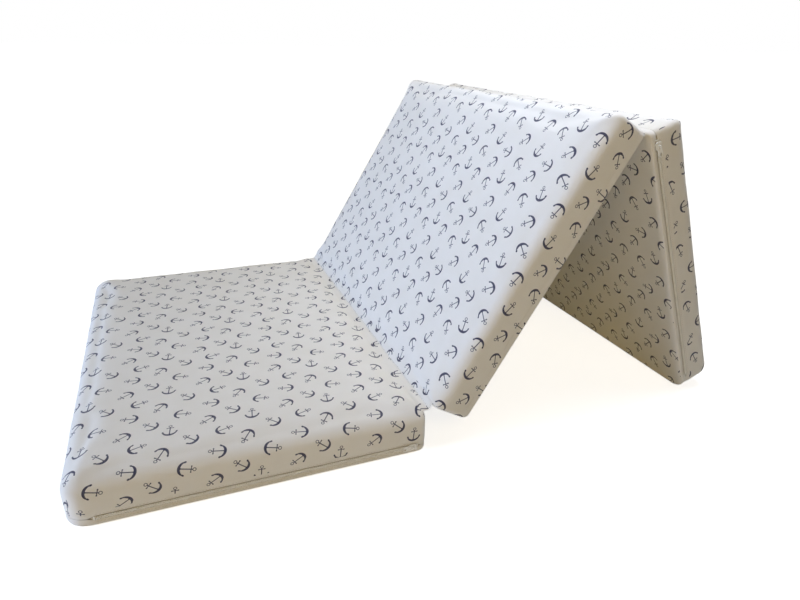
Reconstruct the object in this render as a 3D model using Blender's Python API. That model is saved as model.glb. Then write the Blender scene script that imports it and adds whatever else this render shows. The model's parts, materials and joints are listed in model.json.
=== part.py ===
"""Folding cot mattress: three foam slabs in zipped cotton covers, joined by two cloth hinges.

The mattress is half unfolded: the first section lies on the floor, and the middle and last
sections stand up from it like a tent. Metres, +Z up, and the first section's zip faces -Y.
The origin is on the floor, in the middle of the first section's underside.
"""
from dataclasses import dataclass
from math import asin, atan2, cos, hypot, pi, radians, sin, sqrt

import bmesh
import bpy
from mathutils import Matrix, Vector

# One section of the mattress, in its cover
SECTION_LENGTH = 0.400
SECTION_WIDTH = 0.600
SECTION_THICKNESS = 0.060
CROWN = 0.004
WAIST = 0.0012

# How the sections stand together
FOLD_GAP = 0.002
STACK_CLEARANCE = 0.0003
LIFT_ANGLE = radians(58.6)

# Edge radii of the cover: along its top, along its base, and of its corners seen from above
FREE_TOP_RADIUS = 0.018
HINGED_TOP_RADIUS = 0.006
SIDE_BASE_RADIUS = 0.004
OUTER_BASE_RADIUS = 0.006
TUCKED_BASE_RADIUS = 0.012
BUTTED_BASE_RADIUS = 0.003
FREE_CORNER_RADIUS = 0.025
HINGED_CORNER_RADIUS = 0.008
LEAST_CORNER_RADIUS = 0.003

# Cover cloth and foam
CLOTH_THICKNESS = 0.0015
SEAT_GAP = 0.0003
FOAM_EASE = 0.003
LEAST_EDGE_RADIUS = 0.001

# Zip in the near side of each section
ZIP_HEIGHT = 0.010
ZIP_OPENING = 0.0076
ZIP_LIP = 0.003
TAPE_WIDTH = 0.0054
TAPE_THICKNESS = 0.0007
TAPE_SPLIT = 0.0004
TAPE_TAIL = 0.005
COIL_WIDTH = 0.0044
COIL_THICKNESS = 0.0016
COIL_PITCH = 0.003
COIL_RIDGE = 0.0005
STOP_LENGTH = 0.002
STOP_WIDTH = 0.0052

# Slider on the coil
SLIDER_LENGTH = 0.011
SLIDER_WIDTH = 0.0086
SLIDER_PLATE = 0.0011
SLIDER_FLANGE = 0.0008
SLIDER_FLANGE_DEPTH = 0.0014
SLIDER_FLANGE_SHARE = 0.72
SLIDER_CLEARANCE = 0.0004
SLIDER_EDGE_BEVEL = 0.0003
PARK_MARGIN = 0.0005
LUG_THICKNESS = 0.0009
LUG_WIDTH = 0.0014
LUG_ROOT = 0.0003

# Pull that swings on the slider's lug
PULL_LENGTH = 0.013
PULL_WIDTH = 0.0072
PULL_EYE_WIDTH = 0.0046
PULL_THICKNESS = 0.001
PULL_PIN = 0.0012
PULL_CLEARANCE = 0.0003
PULL_SWING = radians(165.0)

# Cloth hinges
STRIP_THICKNESS = 0.0008
STRIP_LIFT = 0.0005
STRIP_END_MARGIN = 0.010
CREASE_DEPTH = 0.009
VALLEY_DEPTH = 0.0015
STRIP_RISE = 0.009
STRIP_ROOT = 0.003
STRIP_ARC_ANGLES = (radians(80.0), radians(60.0), radians(40.0))

# Fineness of the lofted cloth
LENGTH_STEPS = 3
WIDTH_STEPS = 6
CORNER_STEPS = 4
PULL_ARC_STEPS = 8
LUG_ARC_STEPS = 6

# Where the rings of a loft stand, as shares of the stretch that they cover
RIM_SHARES = (0.0, 0.12, 0.4, 1.0)
WALL_SHARES = (0.0, 0.35, 0.7)
SHOULDER_SHARES = (0.0, 0.34, 0.67, 1.0)
PANEL_SHARES = (0.35, 0.75)
FOAM_BASE_SHARES = (0.0, 0.5, 1.0)

# Outlines of the small zip pieces: along and across, as shares of half their length and width
SLIDER_OUTLINE_SHARES = ((-1.0, 0.72), (-0.72, 1.0), (0.1, 1.0), (0.75, 0.78), (1.0, 0.55))

NEAR, RIGHT, FAR, LEFT = range(4)


@dataclass(frozen=True)
class Section:
    """Edge radii of one section: near, right, far and left side, and the corner that ends each.

    The zip is in the near side, and its slider is parked at the right or the left end.
    """

    name: str
    top_radii: tuple
    base_radii: tuple
    corner_radii: tuple
    slider_side: int


FIRST = Section(
    "first",
    (FREE_TOP_RADIUS, HINGED_TOP_RADIUS, FREE_TOP_RADIUS, FREE_TOP_RADIUS),
    (SIDE_BASE_RADIUS, TUCKED_BASE_RADIUS, SIDE_BASE_RADIUS, OUTER_BASE_RADIUS),
    (HINGED_CORNER_RADIUS, HINGED_CORNER_RADIUS, FREE_CORNER_RADIUS, FREE_CORNER_RADIUS),
    RIGHT,
)
MIDDLE = Section(
    "middle",
    (FREE_TOP_RADIUS, HINGED_TOP_RADIUS, FREE_TOP_RADIUS, FREE_TOP_RADIUS),
    (SIDE_BASE_RADIUS, TUCKED_BASE_RADIUS, SIDE_BASE_RADIUS, BUTTED_BASE_RADIUS),
    (HINGED_CORNER_RADIUS, HINGED_CORNER_RADIUS, HINGED_CORNER_RADIUS, HINGED_CORNER_RADIUS),
    LEFT,
)
LAST = Section(
    "last",
    (FREE_TOP_RADIUS, FREE_TOP_RADIUS, FREE_TOP_RADIUS, FREE_TOP_RADIUS),
    (SIDE_BASE_RADIUS, OUTER_BASE_RADIUS, SIDE_BASE_RADIUS, BUTTED_BASE_RADIUS),
    (FREE_CORNER_RADIUS, FREE_CORNER_RADIUS, HINGED_CORNER_RADIUS, HINGED_CORNER_RADIUS),
    LEFT,
)

# Sizes that follow from the ones above
EDGE_TOP = SECTION_THICKNESS - CROWN
NEAR_FACE = -SECTION_WIDTH / 2
TAPE_FRONT = NEAR_FACE + CLOTH_THICKNESS + SEAT_GAP
COIL_BACK = TAPE_FRONT - SEAT_GAP
COIL_FRONT = COIL_BACK - COIL_THICKNESS
WALL_START = ZIP_HEIGHT + ZIP_OPENING / 2
SLIT = (ZIP_OPENING - SEAT_GAP) / 2
LUG_INNER_RADIUS = PULL_PIN / 2 * sqrt(2) + PULL_CLEARANCE / 2
PIVOT_HEIGHT = LUG_INNER_RADIUS
LUG_OUTER_RADIUS = LUG_INNER_RADIUS + LUG_THICKNESS

# Colours, roughness and metallic value of each material
FINISHES = {
    "cover_cotton": ((0.86, 0.85, 0.82), 0.9, 0.0),
    "foam": ((0.93, 0.88, 0.68), 0.95, 0.0),
    "zip_tape": ((0.88, 0.87, 0.84), 0.85, 0.0),
    "zip_nylon": ((0.90, 0.90, 0.88), 0.45, 0.0),
    "zip_enamel": ((0.93, 0.93, 0.92), 0.25, 0.0),
}


def clear_scene():
    """Remove whatever the file opened with."""
    for thing in list(bpy.data.objects):
        bpy.data.objects.remove(thing, do_unlink=True)


def finish(name):
    """The material of this name, made once."""
    known = bpy.data.materials.get(name)
    if known:
        return known
    colour, roughness, metallic = FINISHES[name]
    material = bpy.data.materials.new(name)
    material.use_nodes = True
    shader = material.node_tree.nodes["Principled BSDF"]
    shader.inputs["Base Color"].default_value = (*colour, 1.0)
    shader.inputs["Roughness"].default_value = roughness
    shader.inputs["Metallic"].default_value = metallic
    return material


def empty(name, parent, place, lift=0, spin=0):
    """An axis that pieces hang on: its +X end is lifted by one angle, or it is spun about Z."""
    axis = bpy.data.objects.new(name, None)
    bpy.context.scene.collection.objects.link(axis)
    axis.parent = parent
    axis.location = place
    axis.rotation_euler = (0, -lift, spin)
    return axis


def piece(name, shape, material, parent, place=(0, 0, 0)):
    """Turn a bmesh into a named object with its material, facing outwards."""
    bmesh.ops.recalc_face_normals(shape, faces=shape.faces)
    mesh = bpy.data.meshes.new(name)
    shape.to_mesh(mesh)
    shape.free()
    mesh.materials.append(finish(material))
    made = bpy.data.objects.new(name, mesh)
    bpy.context.scene.collection.objects.link(made)
    made.parent = parent
    made.location = place
    return made


def give_thickness(cloth, thickness, offset):
    """Make a shell of an open surface: offset -1 grows it inwards, 0 both ways."""
    solidify = cloth.modifiers.new("cloth", "SOLIDIFY")
    solidify.thickness = thickness
    solidify.offset = offset


def combine(kept, other, operation):
    """Boolean between two objects; the other one is a helper that isn't built."""
    other.hide_render = True
    other.display_type = "WIRE"
    boolean = kept.modifiers.new(operation.lower(), "BOOLEAN")
    boolean.operation = operation
    boolean.object = other
    boolean.solver = "EXACT"


def prism(outline, low, high, place):
    """Extrude a closed outline from low to high; place turns (a, b, height) into a point."""
    shape = bmesh.new()
    face = shape.faces.new([shape.verts.new(place(a, b, low)) for a, b in outline])
    raised = bmesh.ops.extrude_face_region(shape, geom=[face])
    moved = [item for item in raised["geom"] if isinstance(item, bmesh.types.BMVert)]
    shift = Vector(place(0, 0, high)) - Vector(place(0, 0, low))
    bmesh.ops.translate(shape, vec=shift, verts=moved)
    return shape


def block(low, high):
    """A plain block between two corners."""
    outline = ((low[0], low[1]), (high[0], low[1]), (high[0], high[1]), (low[0], high[1]))
    return prism(outline, low[2], high[2], lambda a, b, height: (a, b, height))


def base_inset(height, radius):
    """How far a rounded base edge is drawn in at a height above the underside."""
    if height >= radius:
        return 0.0
    return radius - sqrt(radius**2 - (radius - height) ** 2)


def soften(point):
    """Crown the top panel and draw the side walls in a little between their corners."""
    x, y, z = point
    along = (x - SECTION_LENGTH / 2) / (SECTION_LENGTH / 2)
    across = y / (SECTION_WIDTH / 2)
    rise = min(max((z - WALL_START) / (EDGE_TOP - WALL_START), 0.0), 1.0)
    waist = WAIST * sin(pi * rise) ** 2
    x -= waist * along * (1 - across**2)
    y -= waist * across * (1 - along**2)
    z += CROWN * rise**2 * (1 - along**2) * (1 - across**2)
    return (x, y, z)


def spots(side, length):
    """Where the points stand along a straight side, with two just inside the ends of the zip."""
    if side in (RIGHT, LEFT):
        return [length * step / WIDTH_STEPS for step in range(WIDTH_STEPS)]
    inner = length - 2 * ZIP_LIP
    return [0] + [ZIP_LIP + inner * step / LENGTH_STEPS for step in range(LENGTH_STEPS + 1)]


def ring(section, insets, heights, slit=0):
    """Points round a section, anticlockwise from its near left corner.

    Each side has its own inset and height, and each corner eases from one to the next. The
    slit lifts the near side between the ends of its zip.
    """
    half = SECTION_WIDTH / 2
    low = (insets[LEFT], -half + insets[NEAR])
    high = (SECTION_LENGTH - insets[RIGHT], half - insets[FAR])
    corners = ((high[0], low[1]), (high[0], high[1]), (low[0], high[1]), (low[0], low[1]))
    radii = []
    for side in range(4):
        drawn = (insets[side] + insets[(side + 1) % 4]) / 2
        radii.append(max(section.corner_radii[side] - drawn, LEAST_CORNER_RADIUS))
    points = []
    for side in range(4):
        heading = Matrix.Rotation(side * pi / 2, 2) @ Vector((1, 0))
        inward = Vector((-heading.y, heading.x))
        start = Vector(corners[side - 1]) + heading * radii[side - 1]
        end = Vector(corners[side]) - heading * radii[side]
        for along in spots(side, (end - start).length):
            spot = start + heading * along
            opened = slit if side == NEAR and along > 0 else 0
            points.append(soften((spot.x, spot.y, heights[side] + opened)))
        centre = end + inward * radii[side]
        for step in range(CORNER_STEPS):
            turn = step / CORNER_STEPS * pi / 2
            spot = centre + radii[side] * (heading * sin(turn) - inward * cos(turn))
            ease = sin(turn) ** 2
            height = heights[side] + (heights[(side + 1) % 4] - heights[side]) * ease
            points.append(soften((spot.x, spot.y, height)))
    return points


def loft(rings, start, end):
    """Skin a row of rings, closed with a fan from start and another from end."""
    shape = bmesh.new()
    rows = [[shape.verts.new(point) for point in points] for points in rings]
    for lower, upper in zip(rows, rows[1:]):
        for spot in range(len(lower)):
            shape.faces.new((lower[spot - 1], lower[spot], upper[spot], upper[spot - 1]))
    for row, cap in ((rows[0], start), (rows[-1], end)):
        middle = shape.verts.new(cap)
        for spot in range(len(row)):
            shape.faces.new((row[spot - 1], row[spot], middle))
    return shape


def shoulder_rings(section, inset, top, radii):
    """Rings that turn a wall into the top panel, and then close in on the panel's middle."""
    rings = []
    for share in SHOULDER_SHARES:
        turn = share * pi / 2
        insets = [inset + radius * (1 - cos(turn)) for radius in radii]
        heights = [top - radius * (1 - sin(turn)) for radius in radii]
        rings.append(ring(section, insets, heights))
    halves = (SECTION_WIDTH / 2, SECTION_LENGTH / 2, SECTION_WIDTH / 2, SECTION_LENGTH / 2)
    for share in PANEL_SHARES:
        edges = [inset + radius for radius in radii]
        insets = [edge + share * (half - edge) for edge, half in zip(edges, halves)]
        rings.append(ring(section, insets, [top] * 4))
    return rings


def panel_middle(height):
    """The middle point of a section's panel."""
    return soften((SECTION_LENGTH / 2, 0, height))


def eased(radii, inset):
    """Edge radii of a surface that lies inside the cover's outer one."""
    return [max(radius - inset, LEAST_EDGE_RADIUS) for radius in radii]


def top_rings(section, inset):
    """Rings up the walls and over the panel, for the cover's outer face or one inside it."""
    start = ZIP_HEIGHT + SEAT_GAP / 2
    rings = []
    for share in WALL_SHARES:
        heights = [start + share * (EDGE_TOP - radius - start) for radius in section.top_radii]
        drawn = [base_inset(z, radius) for z, radius in zip(heights, section.base_radii)]
        insets = [inset + side for side in drawn]
        rings.append(ring(section, insets, heights, (1 - share) * SLIT))
    radii = eased(section.top_radii, inset)
    return rings + shoulder_rings(section, inset, EDGE_TOP - inset, radii)


def base_rings(section, inset):
    """Rings from the underside up its turned edge, for the outer face or one inside it."""
    rim = ZIP_HEIGHT - SEAT_GAP / 2 - inset
    radii = eased(section.base_radii, inset)
    rings = []
    for share in RIM_SHARES:
        insets = [inset + base_inset(share * rim, radius) for radius in radii]
        rings.append(ring(section, insets, [inset + share * rim] * 4, -share * SLIT))
    return rings


def cover_top(section, parent):
    """Printed top panel with its four walls: one sewn box, open below."""
    inner = top_rings(section, CLOTH_THICKNESS)
    rings = inner[::-1] + top_rings(section, 0)
    shape = loft(rings, panel_middle(EDGE_TOP - CLOTH_THICKNESS), panel_middle(EDGE_TOP))
    piece(f"{section.name}_cover_top", shape, "cover_cotton", parent)


def cover_base(section, parent):
    """Underside panel, flat, with its edge turned up to the seam and the zip."""
    inner = base_rings(section, CLOTH_THICKNESS)
    rings = base_rings(section, 0) + inner[::-1]
    shape = loft(rings, panel_middle(0), panel_middle(CLOTH_THICKNESS))
    piece(f"{section.name}_cover_base", shape, "cover_cotton", parent)


def foam_core(section, parent):
    """Slab of foam that fills the cover, with its edges rounded as the cover's are."""
    low = CLOTH_THICKNESS + SEAT_GAP
    top = EDGE_TOP - CLOTH_THICKNESS - SEAT_GAP
    rings = []
    for share in FOAM_BASE_SHARES:
        turn = share * pi / 2
        insets = [FOAM_EASE + radius * (1 - sin(turn)) for radius in section.base_radii]
        heights = [low + radius * (1 - cos(turn)) for radius in section.base_radii]
        rings.append(ring(section, insets, heights))
    rings += shoulder_rings(section, FOAM_EASE, top, section.top_radii)
    shape = loft(rings, panel_middle(low), panel_middle(top))
    piece(f"{section.name}_foam_core", shape, "foam", parent)


def zip_span(section):
    """Where the coil starts and ends along the section's straight near side."""
    margin = ZIP_LIP + SEAT_GAP + STOP_LENGTH + SEAT_GAP
    start = section.corner_radii[LEFT] + margin
    end = SECTION_LENGTH - section.corner_radii[NEAR] - margin
    return start, end


def zip_tapes(section, parent):
    """Two woven tapes behind the edges of the zip opening."""
    start, end = zip_span(section)
    for name, side in (("upper", 1), ("lower", -1)):
        inner = ZIP_HEIGHT + side * TAPE_SPLIT / 2
        outer = inner + side * TAPE_WIDTH
        low = (start - TAPE_TAIL, TAPE_FRONT, min(inner, outer))
        high = (end + TAPE_TAIL, TAPE_FRONT + TAPE_THICKNESS, max(inner, outer))
        piece(f"{section.name}_zip_tape_{name}", block(low, high), "zip_tape", parent)


def zip_coil(section, parent):
    """Nylon chain: ridges at a steady pitch along the front of a flat bar."""
    start, end = zip_span(section)
    ridges = int((end - start) / COIL_PITCH)
    pitch = (end - start) / ridges
    outline = [(start, COIL_BACK), (end, COIL_BACK)]
    for ridge in range(ridges, 0, -1):
        outline.append((start + ridge * pitch, COIL_FRONT + COIL_RIDGE))
        outline.append((start + (ridge - 1 / 2) * pitch, COIL_FRONT))
    outline.append((start, COIL_FRONT + COIL_RIDGE))
    low = ZIP_HEIGHT - COIL_WIDTH / 2
    shape = prism(outline, low, low + COIL_WIDTH, lambda a, b, height: (a, b, height))
    piece(f"{section.name}_zip_coil", shape, "zip_nylon", parent)


def zip_stops(section, parent):
    """The crimp at each end of the coil, which the slider runs up to."""
    start, end = zip_span(section)
    half = STOP_WIDTH / 2
    names = ("top", "bottom") if section.slider_side == LEFT else ("bottom", "top")
    for name, place in zip(names, (start - SEAT_GAP - STOP_LENGTH, end + SEAT_GAP)):
        low = (place, COIL_FRONT, ZIP_HEIGHT - half)
        high = (place + STOP_LENGTH, COIL_BACK, ZIP_HEIGHT + half)
        piece(f"{section.name}_zip_{name}_stop", block(low, high), "zip_enamel", parent)


def slider_plate():
    """Face plate of the slider, wide at its mouth and narrow at its tail."""
    edge = [(a * SLIDER_LENGTH / 2, b * SLIDER_WIDTH / 2) for a, b in SLIDER_OUTLINE_SHARES]
    outline = edge + [(a, -b) for a, b in reversed(edge)]
    low = -SLIDER_CLEARANCE
    shape = prism(outline, low, low - SLIDER_PLATE, lambda a, b, height: (a, height, b))
    front = [e for e in shape.edges if all(v.co.y < low - SLIDER_PLATE / 2 for v in e.verts)]
    bmesh.ops.bevel(shape, geom=front, offset=SLIDER_EDGE_BEVEL, segments=1, affect="EDGES")
    return shape


def slider_lug():
    """Arch over the pull's pin, standing on the plate."""
    foot = PIVOT_HEIGHT + LUG_ROOT
    outline = [(LUG_OUTER_RADIUS, foot), (LUG_INNER_RADIUS, foot)]
    for step in range(LUG_ARC_STEPS + 1):
        turn = step / LUG_ARC_STEPS * pi
        outline.append((LUG_INNER_RADIUS * cos(turn), -LUG_INNER_RADIUS * sin(turn)))
    outline += [(-LUG_INNER_RADIUS, foot), (-LUG_OUTER_RADIUS, foot)]
    for step in range(LUG_ARC_STEPS + 1):
        turn = step / LUG_ARC_STEPS * pi
        outline.append((-LUG_OUTER_RADIUS * cos(turn), -LUG_OUTER_RADIUS * sin(turn)))
    half = LUG_WIDTH / 2
    return prism(outline, -half, half, lambda a, b, height: (a, b + pivot_depth(), height))


def pivot_depth():
    """Where the pull's pin lies, out from the front of the coil."""
    return -SLIDER_CLEARANCE - SLIDER_PLATE - PIVOT_HEIGHT


def zip_slider(section, parent):
    """Slider parked at an end of the coil: plate, two flanges beside the coil, and the lug."""
    start, end = zip_span(section)
    park = start + PARK_MARGIN + SLIDER_LENGTH / 2
    if section.slider_side == RIGHT:
        park = end - PARK_MARGIN - SLIDER_LENGTH / 2
    name = f"{section.name}_zip_slider"
    place = (park, COIL_FRONT, ZIP_HEIGHT)
    slider = piece(name, slider_plate(), "zip_enamel", parent, place)
    if section.slider_side == RIGHT:
        slider.rotation_euler.y = pi
    inner = COIL_WIDTH / 2 + SLIDER_CLEARANCE
    reach = SLIDER_FLANGE_SHARE * SLIDER_LENGTH / 2
    root = -SLIDER_CLEARANCE - SLIDER_PLATE / 2
    parts = [("lug", slider_lug())]
    for flange, low_edge in (("upper", inner), ("lower", -inner - SLIDER_FLANGE)):
        low = (-reach, root, low_edge)
        high = (reach, SLIDER_FLANGE_DEPTH - SLIDER_CLEARANCE, low_edge + SLIDER_FLANGE)
        parts.append((flange, block(low, high)))
    for part, shape in parts:
        combine(slider, piece(f"{name}_{part}", shape, "zip_enamel", slider), "UNION")
    return slider


def zip_pull(section, slider):
    """Oval tab whose eye goes round the lug, so that it swings over from side to side."""
    eye_end = LUG_OUTER_RADIUS + PULL_CLEARANCE
    half_eye = PULL_EYE_WIDTH / 2
    half_pin = PULL_PIN / 2
    bowl = PULL_WIDTH / 2
    outline = [(-half_pin, -half_eye), (eye_end, -half_eye)]
    for step in range(PULL_ARC_STEPS + 1):
        turn = (step / PULL_ARC_STEPS - 1 / 2) * pi
        outline.append((PULL_LENGTH - bowl + bowl * cos(turn), bowl * sin(turn)))
    outline += [(eye_end, half_eye), (-half_pin, half_eye)]
    half = PULL_THICKNESS / 2
    shape = prism(outline, -half, half, lambda a, b, height: (a, height, b))
    place = (0, pivot_depth(), 0)
    pull = piece(f"{section.name}_zip_pull", shape, "zip_enamel", slider, place)
    gap = LUG_WIDTH / 2 + PULL_CLEARANCE
    hole = block((half_pin, -PULL_THICKNESS, -gap), (eye_end, PULL_THICKNESS, gap))
    eye = piece(f"{section.name}_zip_pull_eye", hole, "zip_enamel", slider, place)
    combine(pull, eye, "DIFFERENCE")


def build_section(section, frame):
    """Every piece of one section, in the section's own frame."""
    foam_core(section, frame)
    cover_base(section, frame)
    cover_top(section, frame)
    zip_tapes(section, frame)
    zip_coil(section, frame)
    zip_stops(section, frame)
    slider = zip_slider(section, frame)
    zip_pull(section, slider)


def mirrored(points, heading):
    """A half profile and its mirror image in the line through the hinge along heading."""
    flipped = []
    for a, b in reversed(points[:-1]):
        along = 2 * (a * heading[0] + b * heading[1])
        flipped.append((along * heading[0] - a, along * heading[1] - b))
    return points + flipped


def strip(name, profile, parent):
    """Band of cloth that follows a profile across the fold, all along the hinge."""
    half = SECTION_WIDTH / 2 - STRIP_END_MARGIN
    shape = bmesh.new()
    rows = [[shape.verts.new((a, side * half, b)) for a, b in profile] for side in (-1, 1)]
    for spot in range(len(profile) - 1):
        shape.faces.new((rows[0][spot], rows[0][spot + 1], rows[1][spot + 1], rows[1][spot]))
    band = piece(name, shape, "cover_cotton", parent)
    give_thickness(band, STRIP_THICKNESS, 0.0)


def top_hinge_strip(parent):
    """Band between the first and middle sections: over both shoulders and down into the crease."""
    lift = STRIP_LIFT + STRIP_THICKNESS / 2
    centre = (
        -FOLD_GAP / 2 - HINGED_TOP_RADIUS,
        -STACK_CLEARANCE - CROWN - HINGED_TOP_RADIUS,
    )
    reach = HINGED_TOP_RADIUS + lift
    points = [(centre[0] + reach * cos(t), centre[1] + reach * sin(t)) for t in STRIP_ARC_ANGLES]
    heading = (sin(LIFT_ANGLE / 2), -cos(LIFT_ANGLE / 2))
    points.append((CREASE_DEPTH * heading[0], CREASE_DEPTH * heading[1]))
    strip("top_hinge_strip", mirrored(points, heading), parent)


def base_hinge_strip(parent, fold_angle):
    """Band between the middle and last sections: it lines the foot of the gap between their ends."""
    lift = SEAT_GAP + STRIP_THICKNESS / 2
    face = -FOLD_GAP / 2 + lift
    points = [
        (face, STACK_CLEARANCE + STRIP_RISE),
        (face, STACK_CLEARANCE + STRIP_ROOT),
    ]
    heading = (sin(fold_angle / 2), cos(fold_angle / 2))
    points.append((VALLEY_DEPTH * heading[0], VALLEY_DEPTH * heading[1]))
    strip("base_hinge_strip", mirrored(points, heading), parent)


def last_slope(hinge_height):
    """Angle of the last section above level (it is negative) that puts its end on the floor."""
    radius = LAST.base_radii[RIGHT]
    along = SECTION_LENGTH + FOLD_GAP / 2 - radius
    above = STACK_CLEARANCE + radius
    return asin((radius - hinge_height) / hypot(along, above)) - atan2(above, along)


def main():
    """Build the three sections on their folds, then the two cloth hinges."""
    clear_scene()
    mattress = empty("mattress", None, (0, 0, 0))
    start = -SECTION_LENGTH / 2
    build_section(FIRST, empty("first_section", mattress, (start, 0, 0)))

    fold_at = (SECTION_LENGTH / 2 + FOLD_GAP / 2, 0, SECTION_THICKNESS + STACK_CLEARANCE)
    first_fold = empty("first_fold", mattress, fold_at, LIFT_ANGLE)
    seat = (FOLD_GAP / 2 + SECTION_LENGTH, 0, -STACK_CLEARANCE - SECTION_THICKNESS)
    build_section(MIDDLE, empty("middle_section", first_fold, seat, spin=pi))

    reach = SECTION_LENGTH + FOLD_GAP
    drop = SECTION_THICKNESS + 2 * STACK_CLEARANCE
    height = fold_at[2] + reach * sin(LIFT_ANGLE) - drop * cos(LIFT_ANGLE)
    fold_angle = LIFT_ANGLE - last_slope(height)
    last_fold = empty("last_fold", first_fold, (reach, 0, -drop), -fold_angle)
    build_section(LAST, empty("last_section", last_fold, (FOLD_GAP / 2, 0, STACK_CLEARANCE)))

    top_hinge_strip(empty("top_hinge", mattress, fold_at))
    base_hinge_strip(empty("base_hinge", first_fold, (reach, 0, -drop)), fold_angle)


if __name__ == "__main__":
    main()
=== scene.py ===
"""Folding cot mattress, half unfolded: the looks of its covers, foam, zips and cloth hinges.

Three foam slabs lie in zipped covers of cotton with a small anchor print. The first section lies
on the floor, and the middle and last ones stand up from it like a tent. Metres, +Z up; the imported
model gives the frame, and every piece is made in its section's own frame and then put in place.
"""
import json
import logging
from collections.abc import Callable
from dataclasses import dataclass, field
from enum import IntEnum
from math import cos, pi, radians, sin, tau

import bmesh
import bpy
import numpy as np
from mathutils import Matrix, Vector, noise

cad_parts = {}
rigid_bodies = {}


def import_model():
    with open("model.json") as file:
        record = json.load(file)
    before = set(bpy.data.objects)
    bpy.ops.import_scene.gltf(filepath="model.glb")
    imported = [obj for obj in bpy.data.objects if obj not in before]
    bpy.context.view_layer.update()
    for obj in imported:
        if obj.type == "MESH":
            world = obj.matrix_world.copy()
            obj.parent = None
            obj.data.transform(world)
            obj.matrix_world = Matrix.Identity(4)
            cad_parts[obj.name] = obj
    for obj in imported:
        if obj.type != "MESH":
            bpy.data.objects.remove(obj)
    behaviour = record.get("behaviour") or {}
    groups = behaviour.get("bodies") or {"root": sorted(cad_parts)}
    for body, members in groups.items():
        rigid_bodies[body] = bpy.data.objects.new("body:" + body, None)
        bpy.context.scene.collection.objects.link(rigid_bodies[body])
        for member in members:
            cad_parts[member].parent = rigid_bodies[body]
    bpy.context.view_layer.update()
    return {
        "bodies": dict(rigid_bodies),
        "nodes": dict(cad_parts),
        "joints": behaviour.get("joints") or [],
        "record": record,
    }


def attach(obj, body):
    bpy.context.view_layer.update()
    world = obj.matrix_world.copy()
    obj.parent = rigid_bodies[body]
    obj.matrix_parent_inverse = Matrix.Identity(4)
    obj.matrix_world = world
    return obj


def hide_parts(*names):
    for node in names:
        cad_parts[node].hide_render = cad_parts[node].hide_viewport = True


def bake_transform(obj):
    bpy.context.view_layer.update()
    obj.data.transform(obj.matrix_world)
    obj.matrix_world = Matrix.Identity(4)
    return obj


LOG = logging.getLogger("mattress")
MM = 0.001
CLOTH_MAP = "cloth"
# Places nearer to each other than this, in metres, are the same.
CLOSE = 1e-6
# Stands in for a length of nothing where something is divided by it.
TINY = 1e-9
# Faces that meet at more than this keep a sharp edge between them.
CLOTH_EDGE, COIL_EDGE, CUT_EDGE, CAST_EDGE = radians(60), radians(50), radians(40), radians(35)
# Cloth whose map is moved along by this many metres is off the printed part of the roll.
PLAIN_CLOTH = 10.0
# What feeds a node: another node's first output, or one of its sockets.
Feed = bpy.types.Node | bpy.types.NodeSocket


class Side(IntEnum):
    """Sides of a section, anticlockwise from the one with the zip, and its two panels."""

    NEAR = 0
    RIGHT = 1
    FAR = 2
    LEFT = 3
    TOP = 4
    BASE = 5


def linear(code: str) -> tuple[float, float, float, float]:
    """Turn an sRGB hex colour into the linear values that a shader takes.

    Args:
        code: six hex digits, with or without a leading hash.

    Returns:
        Red, green, blue and an alpha of one.
    """
    channels = [int(code.lstrip("#")[i:i + 2], 16) / 255 for i in (0, 2, 4)]
    values = [c / 12.92 if c <= 0.04045 else ((c + 0.055) / 1.055) ** 2.4 for c in channels]
    return (*values, 1.0)


def feed(node: bpy.types.Node, links: dict) -> None:
    """Give a node its inputs.

    Args:
        node: the node or shader.
        links: input name or number to what feeds it: a node, a socket or a plain value.
    """
    for socket, value in links.items():
        source = value.outputs[0] if isinstance(value, bpy.types.Node) else value
        if isinstance(source, bpy.types.NodeSocket):
            node.id_data.links.new(source, node.inputs[socket])
        else:
            node.inputs[socket].default_value = source


def add_node(tree: bpy.types.NodeTree, kind: str, links: dict | None = None, **settings) -> bpy.types.Node:
    """Add one shader node.

    Args:
        tree: node tree of the material.
        kind: Blender's name for the node type, without the ShaderNode in front.
        links: what feeds its inputs, as feed takes it.
        settings: attributes of the node, such as operation.

    Returns:
        The new node.
    """
    made = tree.nodes.new("ShaderNode" + kind)
    for name, value in settings.items():
        setattr(made, name, value)
    feed(made, links or {})
    return made


def fresh_material(name: str) -> tuple[bpy.types.Material, bpy.types.NodeTree, bpy.types.Node]:
    """Make a material and hand back it, its node tree and its shader."""
    made = bpy.data.materials.new(name)
    made.use_nodes = True
    return made, made.node_tree, made.node_tree.nodes["Principled BSDF"]


def deselect() -> None:
    """Deselect every object, so that the next operator acts on its own piece alone."""
    for thing in bpy.context.view_layer.objects:
        thing.select_set(False)


def activate(piece: bpy.types.Object) -> bpy.types.Object:
    """Select one piece alone and make it the active one."""
    deselect()
    piece.select_set(True)
    bpy.context.view_layer.objects.active = piece
    return piece


def add_shape(name: str, operator: Callable, stretch: tuple = (1, 1, 1), **settings) -> bpy.types.Object:
    """Add a primitive, and put its place, turn and stretch into its mesh.

    Args:
        name: name of the object and of its mesh.
        operator: the operator that adds it.
        stretch: how much longer it becomes along each of its own axes.
        settings: what the operator takes, such as size and location.

    Returns:
        The new object, the only one selected.
    """
    deselect()
    operator(**settings)
    made = bpy.context.active_object
    made.name = name
    made.data.name = name
    made.scale = stretch
    bpy.ops.object.transform_apply(location=True, rotation=True, scale=True)
    return made


def add_block(name: str, low: tuple, high: tuple) -> bpy.types.Object:
    """Add a box between two corners, as the start of a piece."""
    middle = [(a + b) / 2 for a, b in zip(low, high)]
    sides = [b - a for a, b in zip(low, high)]
    return add_shape(name, bpy.ops.mesh.primitive_cube_add, sides, size=1, location=middle)


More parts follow.
